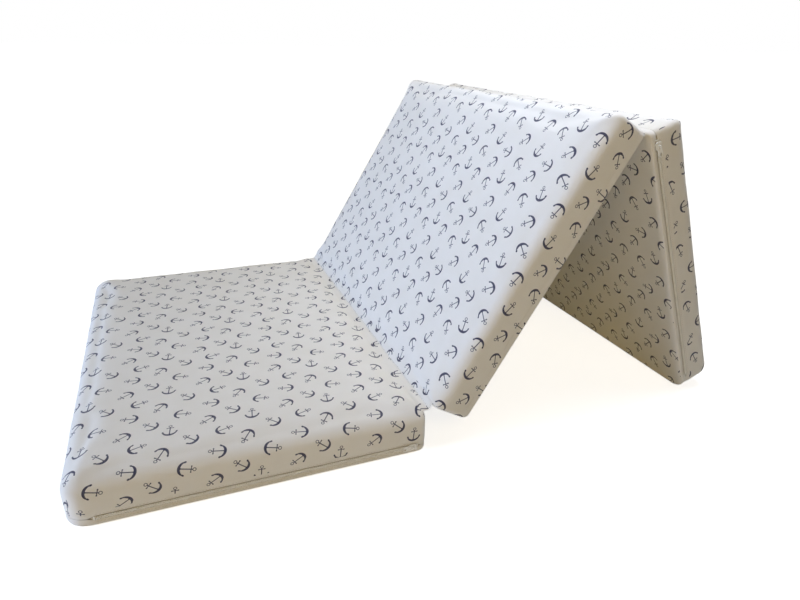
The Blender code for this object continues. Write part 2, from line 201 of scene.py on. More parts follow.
def select_parts(piece: bpy.types.Object, parts: str, wanted: Callable) -> None:
    """Select vertices, edges or faces of the piece in edit mode by a test.

    Args:
        piece: the mesh in edit mode.
        parts: verts, edges or faces.
        wanted: a function that takes one such part and says whether it is selected.
    """
    bpy.ops.mesh.select_mode(type={"verts": "VERT", "edges": "EDGE", "faces": "FACE"}[parts])
    bpy.ops.mesh.select_all(action="DESELECT")
    shape = bmesh.from_edit_mesh(piece.data)
    for part in getattr(shape, parts):
        if wanted(part):
            part.select_set(True)
    shape.select_flush_mode()
    bmesh.update_edit_mesh(piece.data)


def read_rows(data: bpy.types.bpy_prop_collection, name: str, width: int, kind: type = float) -> np.ndarray:
    """Read one attribute of every row of a mesh's data.

    Args:
        data: the rows, such as a mesh's vertices.
        name: the attribute, such as co.
        width: how many numbers it has.
        kind: float or int.

    Returns:
        An array with a row for each, or a plain one where the width is one.
    """
    flat = np.empty(len(data) * width, {float: np.float32, int: np.int32}[kind])
    data.foreach_get(name, flat)
    rows = flat.astype(kind)
    return rows.reshape(-1, width) if width > 1 else rows


def read_points(mesh: bpy.types.Mesh) -> np.ndarray:
    """The mesh's points as an array of three columns."""
    return read_rows(mesh.vertices, "co", 3)


def write_points(mesh: bpy.types.Mesh, points: np.ndarray) -> None:
    """Move the mesh's points to the rows of an array."""
    mesh.vertices.foreach_set("co", points.astype(np.float32).ravel())
    mesh.update()


def at_corners(mesh: bpy.types.Mesh, values: np.ndarray) -> np.ndarray:
    """Repeat the points' values for each corner of each face."""
    return values[read_rows(mesh.loops, "vertex_index", 1, int)]


def write_cloth_map(mesh: bpy.types.Mesh, flat: np.ndarray) -> None:
    """Store each face corner's place on the flat cloth, in metres."""
    layer = mesh.uv_layers.get(CLOTH_MAP) or mesh.uv_layers.new(name=CLOTH_MAP)
    layer.data.foreach_set("uv", flat.astype(np.float32).ravel())


def apply_modifier(piece: bpy.types.Object, kind: str, **settings) -> None:
    """Add a modifier with these settings to a piece and apply it."""
    activate(piece)
    modifier = piece.modifiers.new(kind.lower(), kind)
    for name, value in settings.items():
        setattr(modifier, name, value)
    bpy.ops.object.modifier_apply(modifier=modifier.name)


def edit(piece: bpy.types.Object, parts: str, wanted: Callable, operator: Callable, **settings) -> None:
    """Select parts of a piece by a test and run one mesh operator on them."""
    activate(piece)
    bpy.ops.object.mode_set(mode="EDIT")
    select_parts(piece, parts, wanted)
    operator(**settings)
    bpy.ops.object.mode_set(mode="OBJECT")


def bevel(piece: bpy.types.Object, wanted: Callable, offset: float, segments: int) -> None:
    """Round the edges that pass a test."""
    edit(piece, "edges", wanted, bpy.ops.mesh.bevel, offset=offset, segments=segments)


def sharp(edge: bmesh.types.BMEdge) -> bool:
    """Whether two faces meet at the edge at more than about 30 degrees."""
    return len(edge.link_faces) == 2 and edge.calc_face_angle(0) > radians(30)


def whole(_: bmesh.types.BMVert | bmesh.types.BMFace) -> bool:
    """The test that every part of a piece passes."""
    return True


def runs_along(axis: int) -> Callable:
    """A test for edges that lie along one axis."""
    return lambda e: abs(e.verts[0].co[axis] - e.verts[1].co[axis]) > 0.9 * e.calc_length()


def join(pieces: list[bpy.types.Object]) -> bpy.types.Object:
    """Join pieces into the first one."""
    activate(pieces[0])
    for piece in pieces[1:]:
        piece.select_set(True)
    bpy.ops.object.join()
    return pieces[0]


def face_outwards(piece: bpy.types.Object) -> None:
    """Merge a piece's doubled points and turn its faces outwards."""
    edit(piece, "verts", whole, bpy.ops.mesh.remove_doubles, threshold=CLOSE)
    edit(piece, "faces", whole, bpy.ops.mesh.normals_make_consistent, inside=False)


def dress(
    piece: bpy.types.Object, name: str, material: bpy.types.Material, place: Matrix, angle: float,
) -> None:
    """Name a piece, give it its material, shade it smooth and put its place into its mesh.

    Args:
        piece: the finished shape, in its own frame.
        name: its name from now on.
        material: its only material.
        place: where its own frame stands.
        angle: the angle past which an edge stays sharp.
    """
    activate(piece)
    piece.name = name
    piece.data.name = name
    piece.data.materials.clear()
    piece.data.materials.append(material)
    bpy.ops.object.shade_smooth_by_angle(angle=angle, keep_sharp_edges=False)
    piece.data.transform(place)


def declare(piece: bpy.types.Object, body: str, node: str | None) -> None:
    """Attach a piece to what it rides on, hide the solid it stands for, and log how many faces it has."""
    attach(piece, body)
    if node:
        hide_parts(node)
    LOG.info("%s: %d faces", piece.name, len(piece.data.polygons))


@dataclass(frozen=True)
class AnchorPrint:
    """The small navy anchors on the cover cloth, a motif of plain lines, and how they are spread.

    Eight anchors share a square repeat. They stand near the points of a slanted lattice, each
    nudged a little and turned its own way. Sizes are in millimetres on the cloth.
    """

    repeat: float = 90.7
    ring_height: float = 7.9
    ring_radius: float = 1.65
    ring_line: float = 0.4
    stock_height: float = 4.5
    stock_half: float = 3.3
    stock_line: float = 0.5
    stock_knob: float = 0.8
    shank_low: float = -8.3
    shank_high: float = 6.2
    shank_line: float = 0.58
    arm_radius: float = 8.1
    arm_centre: float = -1.8
    arm_inner_radius: float = 8.2
    arm_inner_centre: float = 1.3
    arm_tip: float = -3.2
    fluke_root: tuple[float, float] = (7.1, -3.4)
    fluke_point: tuple[float, float] = (7.6, -2.5)
    fluke_size: float = 1.0
    soft_edge: float = 0.16
    blend: float = 1.6
    nudge_reach: float = 0.14
    nudge_shares: tuple = (
        (-0.017, -0.048), (0.016, 0.010), (-0.039, -0.034), (0.058, 0.016),
        (0.002, 0.002), (-0.011, 0.044), (0.002, 0.008), (-0.011, 0.002),
    )
    turn_shares: tuple = (-0.266, 0.455, -0.130, 0.090, -0.035, 0.544, -0.118, 0.145)

    def ink(self, tree: bpy.types.NodeTree, cloth: Feed) -> Feed:
        """Build the nodes of the print.

        Args:
            tree: node tree of the cloth's material.
            cloth: place on the flat cloth, in metres.

        Returns:
            One on an anchor and zero beside it.
        """
        per_metre = 1 / (self.repeat * MM)
        place = add_node(tree, "VectorMath", {0: cloth, 1: (per_metre, -per_metre, 0)}, operation="MULTIPLY")
        steps = []
        for weights in ((3, 1, 0), (2, -2, 0)):
            exact = add_node(tree, "VectorMath", {0: place, 1: weights}, operation="DOT_PRODUCT")
            steps.append(add_node(tree, "Math", {0: exact.outputs["Value"]}, operation="ROUND"))
        channels = self.look_up(tree, steps)
        cell = self.cell_middle(tree, steps)
        nudge = add_node(tree, "CombineXYZ", {0: channels[0], 1: channels[1]})
        nudge = add_node(tree, "VectorMath", {0: nudge, 1: (self.nudge_reach,) * 3,
                                              2: (-self.nudge_reach / 2,) * 3}, operation="MULTIPLY_ADD")
        middle = add_node(tree, "VectorMath", {0: cell, 1: nudge}, operation="ADD")
        offset = add_node(tree, "VectorMath", {0: place, 1: middle}, operation="SUBTRACT")
        offset = add_node(tree, "VectorMath", {0: offset, 1: (self.repeat, -self.repeat, 0)},
                          operation="MULTIPLY")
        angle = add_node(tree, "Math", {0: channels[2], 1: -tau}, operation="MULTIPLY")
        turned = add_node(tree, "VectorRotate", {"Vector": offset, "Angle": angle}, rotation_type="Z_AXIS")
        ink = self.motif(tree, turned)
        along = add_node(tree, "SeparateXYZ", {0: cloth}).outputs["X"]
        printed = add_node(tree, "Math", {0: along, 1: PLAIN_CLOTH / 2}, operation="LESS_THAN")
        return add_node(tree, "Math", {0: ink, 1: printed}, operation="MULTIPLY")

    def look_up(self, tree: bpy.types.NodeTree, steps: list[Feed]) -> bpy.types.bpy_prop_collection:
        """Find an anchor's nudge and turn.

        Args:
            tree: node tree of the cloth's material.
            steps: whole numbers of steps along the lattice's two directions.

        Returns:
            Three sockets: its nudge along and up, and its turn, as shares from zero to one.
        """
        count = len(self.turn_shares)
        number = add_node(tree, "Math", {0: steps[0], 1: 2.0, 2: steps[1]}, operation="MULTIPLY_ADD")
        number = add_node(tree, "Math", {0: number, 1: count}, operation="FLOORED_MODULO")
        share = add_node(tree, "Math", {0: number, 1: 1 / count, 2: 1 / 2 / count}, operation="MULTIPLY_ADD")
        table = add_node(tree, "ValToRGB", {0: share})
        self.fill_table(table.color_ramp)
        return add_node(tree, "SeparateColor", {0: table.outputs["Color"]}).outputs

    def fill_table(self, ramp: bpy.types.ColorRamp) -> None:
        """Store each anchor's nudge and turn in the stops of a stepped ramp."""
        ramp.interpolation = "CONSTANT"
        while len(ramp.elements) < len(self.turn_shares):
            ramp.elements.new(1.0)
        for stop, (nudge, turn) in enumerate(zip(self.nudge_shares, self.turn_shares)):
            element = ramp.elements[stop]
            element.position = stop / len(self.turn_shares)
            red, green = (value / self.nudge_reach + 1 / 2 for value in nudge)
            element.color = (red, green, (turn + 1 / 4) % 1.0, 1.0)

    def cell_middle(self, tree: bpy.types.NodeTree, steps: list[Feed]) -> Feed:
        """The lattice point that these two whole numbers of steps lead to, in repeats."""
        legs = []
        for step, run in zip(steps, ((1 / 4, 1 / 4, 0), (1 / 8, -3 / 8, 0))):
            legs.append(add_node(tree, "VectorMath", {0: run, "Scale": step}, operation="SCALE"))
        return add_node(tree, "VectorMath", {0: legs[0], 1: legs[1]}, operation="ADD")

    def motif(self, tree: bpy.types.NodeTree, spot: Feed) -> Feed:
        """One anchor, as the distance to its nearest line, turned into ink.

        Args:
            tree: node tree of the cloth's material.
            spot: place in the anchor's own frame, its ring up, in millimetres.

        Returns:
            One on the anchor and zero beside it.
        """
        mirrored = add_node(tree, "VectorMath", {0: spot}, operation="ABSOLUTE")
        sides = add_node(tree, "SeparateXYZ", {0: mirrored}).outputs["X"]
        up = add_node(tree, "SeparateXYZ", {0: spot}).outputs["Y"]
        half = add_node(tree, "CombineXYZ", {0: sides, 1: up})
        ring = self.circle(tree, half, self.ring_height, self.ring_radius)
        ring = add_node(tree, "Math", {0: ring}, operation="ABSOLUTE")
        ring = add_node(tree, "Math", {0: ring, 1: self.ring_line}, operation="SUBTRACT")
        stock_end, knob_start = ((self.stock_half - back, self.stock_height) for back in (0, 0.1))
        stock = self.line(tree, half, (0, self.stock_height), stock_end, self.stock_line)
        knob = self.line(tree, half, knob_start, stock_end, self.stock_knob)
        shank = self.line(tree, half, (0, self.shank_low), (0, self.shank_high), self.shank_line)
        fluke = self.line(tree, half, self.fluke_root, self.fluke_point, self.fluke_size)
        outer = self.circle(tree, half, self.arm_centre, self.arm_radius)
        inner = self.circle(tree, half, self.arm_inner_centre, self.arm_inner_radius)
        arm = add_node(tree, "Math", {0: inner, 1: -1.0}, operation="MULTIPLY")
        arm = add_node(tree, "Math", {0: arm, 1: outer}, operation="MAXIMUM")
        below = add_node(tree, "Math", {0: up, 1: self.arm_tip}, operation="SUBTRACT")
        arm = add_node(tree, "Math", {0: arm, 1: below}, operation="MAXIMUM")
        nearest = add_node(tree, "Math", {0: arm, 1: shank, 2: self.blend}, operation="SMOOTH_MIN")
        for other in (ring, stock, knob, fluke):
            nearest = add_node(tree, "Math", {0: nearest, 1: other}, operation="MINIMUM")
        return add_node(tree, "MapRange", {"Value": nearest, "From Min": self.soft_edge,
                                           "From Max": -self.soft_edge}, interpolation_type="SMOOTHSTEP")

    def circle(self, tree: bpy.types.NodeTree, half: Feed, height: float, radius: float) -> Feed:
        """Distance from a circle on the anchor's middle line."""
        away = add_node(tree, "VectorMath", {0: half, 1: (0, height, 0)}, operation="DISTANCE")
        return add_node(tree, "Math", {0: away.outputs["Value"], 1: radius}, operation="SUBTRACT")

    def line(self, tree: bpy.types.NodeTree, half: Feed, start: tuple, end: tuple, radius: float) -> Feed:
        """Distance from a straight line with round ends."""
        run = Vector((*end, 0)) - Vector((*start, 0))
        offset = add_node(tree, "VectorMath", {0: half, 1: (*start, 0)}, operation="SUBTRACT")
        along = add_node(tree, "VectorMath", {0: offset, 1: run / run.length_squared},
                         operation="DOT_PRODUCT")
        along = add_node(tree, "Clamp", {0: along.outputs["Value"]})
        foot = add_node(tree, "VectorMath", {0: run, "Scale": along}, operation="SCALE")
        away = add_node(tree, "VectorMath", {0: offset, 1: foot}, operation="DISTANCE")
        return add_node(tree, "Math", {0: away.outputs["Value"], 1: radius}, operation="SUBTRACT")


@dataclass(frozen=True)
class PrintedCotton:
    """Plain-woven cotton, bleached off-white and printed navy: matt, with a faint soft sheen.

    The threads of the real cloth are about 0.3 mm apart, too fine to show, so the weave is drawn
    coarser. A few thicker threads, and soft patches of painted shade standing in for the cloth's
    soft wrinkles, keep the white from looking flat.
    """

    ground: str = "#F2F0EC"
    # Darker end of the cloth's tone: real for the thicker threads, painted shade in the soft blotches.
    shade: str = "#E9E6DF"
    navy: str = "#161B47"
    thread: float = 1.1
    thread_run: float = 0.06
    thread_share: float = 0.25
    # Noise scale of the soft blotches of painted shade.
    wrinkle_shade_scale: float = 26.0
    thin_ink: float = 0.84
    weave_height: float = 0.00012
    weave_strength: float = 0.5
    roughness: float = 0.88
    specular: float = 0.3
    sheen: float = 0.12
    pattern: AnchorPrint = field(default_factory=AnchorPrint)

    def material(self) -> bpy.types.Material:
        """Build the cloth's material, whose pattern follows the cloth's own map."""
        made, tree, shader = fresh_material("printed_cotton")
        cloth = add_node(tree, "UVMap", uv_map=CLOTH_MAP)
        ink = self.pattern.ink(tree, cloth)
        # Soft blotches of painted shade, standing in for the light and shade of the cloth's soft wrinkles.
        painted_wrinkle_shade = add_node(tree, "TexNoise", {"Vector": cloth, "Scale": self.wrinkle_shade_scale, "Detail": 3.0})
        warp = self.threads(tree, cloth, (1.0, self.thread_run, 1.0))
        weft = self.threads(tree, cloth, (self.thread_run, 1.0, 1.0))
        uneven = add_node(tree, "Math", {0: warp, 1: weft}, operation="ADD")
        uneven = add_node(tree, "Math", {0: uneven, 1: self.thread_share, 2: painted_wrinkle_shade.outputs["Fac"]},
                          operation="MULTIPLY_ADD")
        ground = add_node(tree, "Mix", {0: uneven, 6: linear(self.shade), 7: linear(self.ground)},
                          data_type="RGBA")
        worn = add_node(tree, "MapRange", {"Value": warp, "To Min": self.thin_ink, "To Max": 1.0})
        cover = add_node(tree, "Math", {0: ink, 1: worn}, operation="MULTIPLY")
        colour = add_node(tree, "Mix", {0: cover, 6: ground.outputs[2], 7: linear(self.navy)},
                          data_type="RGBA")
        bump = add_node(tree, "Bump", {"Height": self.weave(tree, cloth), "Strength": self.weave_strength,
                                       "Distance": self.weave_height})
        feed(shader, {"Base Color": colour.outputs[2], "Roughness": self.roughness, "Normal": bump,
                      "Sheen Weight": self.sheen, "Specular IOR Level": self.specular})
        return made

    def threads(self, tree: bpy.types.NodeTree, cloth: Feed, stretch: tuple) -> Feed:
        """Noise drawn out along one set of threads."""
        scaled = add_node(tree, "VectorMath", {0: cloth, 1: stretch}, operation="MULTIPLY")
        return add_node(tree, "TexNoise", {"Vector": scaled, "Scale": 1 / (self.thread * MM),
                                           "Detail": 1.0}).outputs["Fac"]

    def weave(self, tree: bpy.types.NodeTree, cloth: Feed) -> Feed:
        """Height of the crossing threads of a plain weave."""
        turns = pi / (self.thread * MM)
        waves = []
        for axis in ("X", "Y"):
            part = add_node(tree, "SeparateXYZ", {0: cloth}).outputs[axis]
            angle = add_node(tree, "Math", {0: part, 1: turns}, operation="MULTIPLY")
            waves.append(add_node(tree, "Math", {0: angle}, operation="SINE"))
        return add_node(tree, "Math", {0: waves[0], 1: waves[1]}, operation="MULTIPLY")


@dataclass(frozen=True)
class CutFoam:
    """Open-cell polyurethane foam, sawn: cream, dull, with pores all over, painted darker in their hollows as
    shade.

    The real pores are under a millimetre, so they are drawn a little coarser.
    """

    pale: str = "#F3E7BE"
    # Darker colour painted into the pores' hollows as shade.
    pore_shade: str = "#D9C68F"
    pore: float = 1.3
    cloud: float = 30.0
    depth: float = 0.0003
    strength: float = 0.6
    roughness: float = 0.95

    def material(self) -> bpy.types.Material:
        """Build the foam's material."""
        made, tree, shader = fresh_material("sawn_foam")
        place = add_node(tree, "TexCoord").outputs["Object"]
        pores = add_node(tree, "TexVoronoi", {"Vector": place, "Scale": 1 / (self.pore * MM)})
        pores = pores.outputs["Distance"]
        cloud = add_node(tree, "TexNoise", {"Vector": place, "Scale": self.cloud, "Detail": 3.0})
        # Darkest at the pores' bottoms, where the bump is lowest: painted shade, mixed with a cloudy tone
        # that varies at random.
        depth = add_node(tree, "Math", {0: pores, 1: cloud.outputs["Fac"]}, operation="MULTIPLY")
        colour = add_node(tree, "Mix", {0: depth, 6: linear(self.pore_shade), 7: linear(self.pale)},
                          data_type="RGBA")
        bump = add_node(tree, "Bump", {"Height": pores, "Strength": self.strength, "Distance": self.depth})
        feed(shader, {"Base Color": colour.outputs[2], "Roughness": self.roughness, "Normal": bump})
        return made


@dataclass(frozen=True)
class WovenTape:
    """Polyester zip tape, woven in a fine herringbone: off-white with a slight lustre."""

    pale: str = "#E6E2D8"
    dark: str = "#C6C1B4"
    rib: float = 0.9
    waver: float = 0.6
    grain: float = 900.0
    depth: float = 0.00008
    strength: float = 0.6
    roughness: float = 0.7

    def material(self) -> bpy.types.Material:
        """Build the tape's material, whose ribs follow its own map."""
        made, tree, shader = fresh_material("woven_zip_tape")
        cloth = add_node(tree, "UVMap", uv_map=CLOTH_MAP)
        ribs = add_node(tree, "TexWave", {"Vector": cloth, "Scale": 1 / (self.rib * MM * pi),
                                          "Distortion": self.waver, "Detail": 1.0},
                        wave_profile="SIN", bands_direction="DIAGONAL")
        grain = add_node(tree, "TexNoise", {"Vector": cloth, "Scale": self.grain, "Detail": 1.0})
        # Furrows between the ribs, where the bump is lowest, are painted darker as shade; the fine grain
        # varies the tone at random.
        mixed = add_node(tree, "Math", {0: ribs.outputs["Fac"], 1: grain.outputs["Fac"]},
                         operation="MULTIPLY")
        colour = add_node(tree, "Mix", {0: mixed, 6: linear(self.dark), 7: linear(self.pale)},
                          data_type="RGBA")
        bump = add_node(tree, "Bump", {"Height": mixed, "Strength": self.strength, "Distance": self.depth})
        feed(shader, {"Base Color": colour.outputs[2], "Roughness": self.roughness, "Normal": bump})
        return made


@dataclass(frozen=True)
class MouldedNylon:
    """White nylon filament of the zip's coil: smooth, faintly see-through, softly glossy."""

    pale: str = "#F2F1EC"
    grey: str = "#DEDCD3"
    rub: float = 120.0
    roughness: float = 0.42
    rougher: float = 0.1

    def material(self) -> bpy.types.Material:
        """Build the coil's material, a little greyer where it rubs."""
        made, tree, shader = fresh_material("moulded_nylon")
        place = add_node(tree, "TexCoord").outputs["Object"]
        rub = add_node(tree, "TexNoise", {"Vector": place, "Scale": self.rub, "Detail": 2.0}).outputs["Fac"]
        colour = add_node(tree, "Mix", {0: rub, 6: linear(self.grey), 7: linear(self.pale)}, data_type="RGBA")
        gloss = add_node(tree, "MapRange", {"Value": rub, "To Min": self.roughness + self.rougher,
                                            "To Max": self.roughness})
        feed(shader, {"Base Color": colour.outputs[2], "Roughness": gloss})
        return made


@dataclass(frozen=True)
class EnamelledZinc:
    """Cast zinc under gloss white enamel: bright white with sharp small highlights."""

    white: str = "#F7F7F4"
    worn: str = "#E6E4DC"
    flow: float = 260.0
    flow_height: float = 0.00004
    flow_strength: float = 0.15
    roughness: float = 0.16
    rougher: float = 0.14
    coat: float = 0.6
    coat_roughness: float = 0.08

    def material(self) -> bpy.types.Material:
        """Build the enamel, whose gloss is slightly uneven from the dipping."""
        made, tree, shader = fresh_material("white_enamel")
        place = add_node(tree, "TexCoord").outputs["Object"]
        flow = add_node(tree, "TexNoise", {"Vector": place, "Scale": self.flow, "Detail": 2.0}).outputs["Fac"]
        colour = add_node(tree, "Mix", {0: flow, 6: linear(self.worn), 7: linear(self.white)},
                          data_type="RGBA")
        gloss = add_node(tree, "MapRange", {"Value": flow, "To Min": self.roughness + self.rougher,
                                            "To Max": self.roughness})
        bump = add_node(tree, "Bump", {"Height": flow, "Strength": self.flow_strength,
                                       "Distance": self.flow_height})
        feed(shader, {"Base Color": colour.outputs[2], "Roughness": gloss, "Normal": bump,
                      "Coat Weight": self.coat, "Coat Roughness": self.coat_roughness})
        return made


@dataclass(frozen=True)
class SewingThread:
    """Spun polyester thread of the seams: white, matt, with a fine twist."""

    pale: str = "#F0EEE9"
    dark: str = "#CFCBC0"
    twist: float = 0.5
    roughness: float = 0.8

    def material(self) -> bpy.types.Material:
        """Build the thread's material."""
        made, tree, shader = fresh_material("sewing_thread")
        place = add_node(tree, "TexCoord").outputs["Object"]
        # Darker bands along the twist are painted shade in the grooves between the plies.
        ply = add_node(tree, "TexWave", {"Vector": place, "Scale": 1 / (self.twist * MM * pi)},
                       bands_direction="DIAGONAL").outputs["Fac"]
        colour = add_node(tree, "Mix", {0: ply, 6: linear(self.dark), 7: linear(self.pale)}, data_type="RGBA")
        feed(shader, {"Base Color": colour.outputs[2], "Roughness": self.roughness})
        return made


@dataclass(frozen=True)
class Finishes:
    """The materials of the mattress, each made once."""

    cotton: bpy.types.Material
    foam: bpy.types.Material
    tape: bpy.types.Material
    nylon: bpy.types.Material
    enamel: bpy.types.Material
    thread: bpy.types.Material

    @classmethod
    def make(cls) -> "Finishes":
        """Build every material."""
        kinds = (PrintedCotton, CutFoam, WovenTape, MouldedNylon, EnamelledZinc, SewingThread)
        return cls(*(kind().material() for kind in kinds))


@dataclass(frozen=True)
class PrintLay:
    """How one panel lay on the printed cloth when it was cut, and how it was pulled when sewn.

    The origin is where one repeat of the print starts on the panel, and the turn is how askew.
    The skew is how far the cloth was pulled out of square, and the stretch how much longer it got.
    """

    origin: tuple[float, float]
    turn: float = 0.0
    skew: float = 0.0
    stretch: tuple[float, float] = (1.0, 1.0)

    def on_cloth(self, flat: np.ndarray) -> np.ndarray:
        """Places on the cloth for places on the flat panel, one to a row."""
        aside, ahead = sin(self.turn), cos(self.turn)
        straight = (flat - np.array(self.origin)) @ np.array(((ahead, -aside), (aside, ahead)))
        return straight @ np.array(((1, -self.skew), (0, 1))) / np.array(self.stretch)


@dataclass(frozen=True)
class CoverEdges:
    """Radii of a cover's rounded edges: near, right, far and left, and the corner that ends each."""

    top: tuple[float, float, float, float]
    base: tuple[float, float, float, float]
    corners: tuple[float, float, float, float]


@dataclass(frozen=True)
class SectionSizes:
    """Sizes that the three sections share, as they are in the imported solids."""

    length: float = 0.400
    width: float = 0.600
    thickness: float = 0.060
    crown: float = 0.004
    waist: float = 0.0012
    seam_height: float = 0.010
    slit: float = 0.0054
    lip: float = 0.003
    fold_gap: float = 0.002
    clearance: float = 0.0003

    @property
    def box_height(self) -> float:
        """Height of the cover at its edges, below the crown."""
        return self.thickness - self.crown


# How the cover's cloth stretches, shears and bends while it swells.
CLOTH_FEEL = {"quality": 6, "mass": 0.3, "tension_stiffness": 20, "compression_stiffness": 20,
              "shear_stiffness": 8, "bending_stiffness": 2, "use_pressure": True}


@dataclass
class SectionCover:
    """One section's cushion: the printed cover top and the cover base round the foam.

    The cushion starts as a box of cloth, is rounded and crowned, swells a little under pressure,
    and is then cut along its seam. Its near side is slit for the zip.
    """

    name: str
    place: Matrix
    edges: CoverEdges
    top_lay: PrintLay
    base_lay: PrintLay
    sizes: SectionSizes = field(default_factory=SectionSizes)
    cell: float = 0.009
    edge_cell: float = 0.005
    start_crown: float = 0.0015
    swell: float = 0.0026
    pressure: float = 4.0
    frames: int = 20
    cloth_thickness: float = 0.0011
    groove: float = 0.0011
    seam_groove: float = 0.0004
    corner_reach: float = 0.03
    rim_gap: float = 0.0001
    facing: float = 0.0
    least_steps: int = 3
    wall_steps: int = 5
    crease: float = 0.8
    rumple: float = 0.0009
    rumple_wave: float = 0.05
    fill: float = 0.85

    def build(self, cotton: bpy.types.Material) -> list[bpy.types.Object]:
        """Args:
            cotton: the printed cloth.

        Returns:
            The cover top and the cover base.
        """
        cushion = self.box_of_cloth()
        self.round_off(cushion)
        self.unsettle(cushion)
        self.lay_out_cloth(cushion)
        self.inflate(cushion)
        self.limit_crown(cushion)
        parts = self.cut_at_seam(cushion)
        for part, node in zip(parts, ("cover_top", "cover_base")):
            self.open_slit(part)
            self.finish(part, f"{self.name}_{node}", cotton)
        return parts

    def stations(self, length: float, low: float, high: float, lip: float) -> np.ndarray:
        """Where the grid lines stand along one direction, closer together at both ends.

        Args:
            length: the whole run.
            low: width of the rounded stretch at the start.
            high: width of the rounded stretch at the end.
            lip: width of one extra step inside each, or zero.

        Returns:
            Places from zero to length.
        """
        counts = [max(round(reach / self.edge_cell), self.least_steps) + 1 for reach in (low, high)]
        start = np.linspace(0, low, counts[0])
        end = np.linspace(length - high, length, counts[1])
        inner = (low + lip, length - high - lip)
        steps = round((inner[1] - inner[0]) / self.cell)
        middle = np.linspace(*inner, steps + 1)
        return np.unique(np.round(np.concatenate((start, middle, end)), 7))

    def grid_lines(self) -> list[np.ndarray]:
        """Grid lines of the box along its length, width and height."""
        edges, sizes = self.edges, self.sizes
        left = max(edges.corners[Side.FAR], edges.corners[Side.LEFT], edges.top[Side.LEFT])
        right = max(edges.corners[Side.NEAR], edges.corners[Side.RIGHT], edges.top[Side.RIGHT])
        near = max(edges.corners[Side.NEAR], edges.corners[Side.LEFT], edges.top[Side.NEAR])
        far = max(edges.corners[Side.RIGHT], edges.corners[Side.FAR], edges.top[Side.FAR])
        along = self.stations(sizes.length, left, right, sizes.lip)
        across = self.stations(sizes.width, near, far, 0) - sizes.width / 2
        shoulder = sizes.box_height - max(edges.top)
        levels = (0, sizes.seam_height, shoulder, sizes.box_height)
        runs = [np.linspace(low, high, self.wall_steps) for low, high in zip(levels, levels[1:])]
        return [along, across, np.unique(np.concatenate(runs))]

    def box_of_cloth(self) -> bpy.types.Object:
        """Start from a cube and cut it along the grid lines of the cover."""
        cushion = add_shape(f"{self.name}_cushion", bpy.ops.mesh.primitive_cube_add, size=1,
                            location=(1 / 2, 0, 1 / 2))
        lines = self.grid_lines()
        bpy.ops.object.mode_set(mode="EDIT")
        for axis, places in enumerate(lines):
            select_parts(cushion, "edges", runs_along(axis))
            bpy.ops.mesh.subdivide(number_cuts=len(places) - 2)
        bpy.ops.object.mode_set(mode="OBJECT")
        points = read_points(cushion.data)
        for axis, places in enumerate(lines):
            low = -1 / 2 if axis == 1 else 0
            steps = np.rint((points[:, axis] - low) * (len(places) - 1)).astype(int)
            points[:, axis] = places[steps]
        write_points(cushion.data, points)
        self.remember_box(cushion)
        return cushion

    def remember_box(self, cushion: bpy.types.Object) -> None:
        """Keep each point's place on the square box, and each face's side of it."""
        mesh = cushion.data
        box = mesh.attributes.new("box", "FLOAT_VECTOR", "POINT")
        box.data.foreach_set("vector", read_points(mesh).astype(np.float32).ravel())
        sides = mesh.attributes.new("side", "INT", "FACE")
        for face in mesh.polygons:
            normal = face.normal
            axis = max(range(3), key=lambda i: abs(normal[i]))
            pairs = ((Side.LEFT, Side.RIGHT), (Side.NEAR, Side.FAR), (Side.BASE, Side.TOP))
            sides.data[face.index].value = pairs[axis][normal[axis] > 0]

    def edge_radius(self, top: np.ndarray, high: np.ndarray, low_side: Side, high_side: Side) -> np.ndarray:
        """The radius of the top or base edge that each point is nearest to, on one of two sides."""
        edges = self.edges
        return np.where(top, np.where(high, edges.top[high_side], edges.top[low_side]),
                        np.where(high, edges.base[high_side], edges.base[low_side]))

    def by_corner(self, values: tuple, right: np.ndarray, far: np.ndarray) -> np.ndarray:
        """Pick the value of the upright corner that each point is nearest to."""
        near_side = np.where(right, values[Side.NEAR], values[Side.LEFT])
        far_side = np.where(right, values[Side.RIGHT], values[Side.FAR])
        return np.where(far, far_side, near_side)

    def round_off(self, cushion: bpy.types.Object) -> None:
        """Round the box's upright corners and its top and base edges, then crown it."""
        sizes, edges = self.sizes, self.edges
        x, y, z = read_points(cushion.data).T
        right, far = x > sizes.length / 2, y > 0
        sign = np.stack((np.where(right, 1, -1), np.where(far, 1, -1)))
        edge = np.stack((np.where(right, sizes.length - x, x), sizes.width / 2 - abs(y)))
        corner = self.by_corner(edges.corners, right, far)
        inside = np.maximum(corner - edge, 0)
        square, reach = inside.max(0), np.hypot(*inside)
        turned = np.where(inside.min(0) > 0, square / np.maximum(reach, TINY), 1) - 1
        plan = np.stack((x, y)) + sign * inside * turned
        top = z > sizes.box_height / 2
        radii = np.stack((self.edge_radius(top, right, Side.LEFT, Side.RIGHT),
                          self.edge_radius(top, far, Side.NEAR, Side.FAR)))
        zone = np.maximum(corner, radii.max(0))
        heading = np.maximum(zone - edge, 0)
        heading = sign * heading / np.maximum(np.hypot(*heading), TINY)
        radius = (radii * heading**2).sum(0)
        from_edge = edge.min(0)
        down = np.where(top, sizes.box_height - z, z)
        path = down - from_edge
        curved = (abs(path) < radius) & (radius > 0)
        turn = np.where(curved, (path + radius) / (2 * np.maximum(radius, TINY)) * pi / 2, 0)
        inset = np.where(curved, radius * (1 - np.sin(turn)), from_edge)
        drop = np.where(curved, radius * (1 - np.cos(turn)), down)
        plan += heading * (from_edge - inset)
        height = np.where(top, sizes.box_height - drop, drop)
        points = np.stack((plan[0], plan[1], height), 1)
        write_points(cushion.data, self.soften(points))

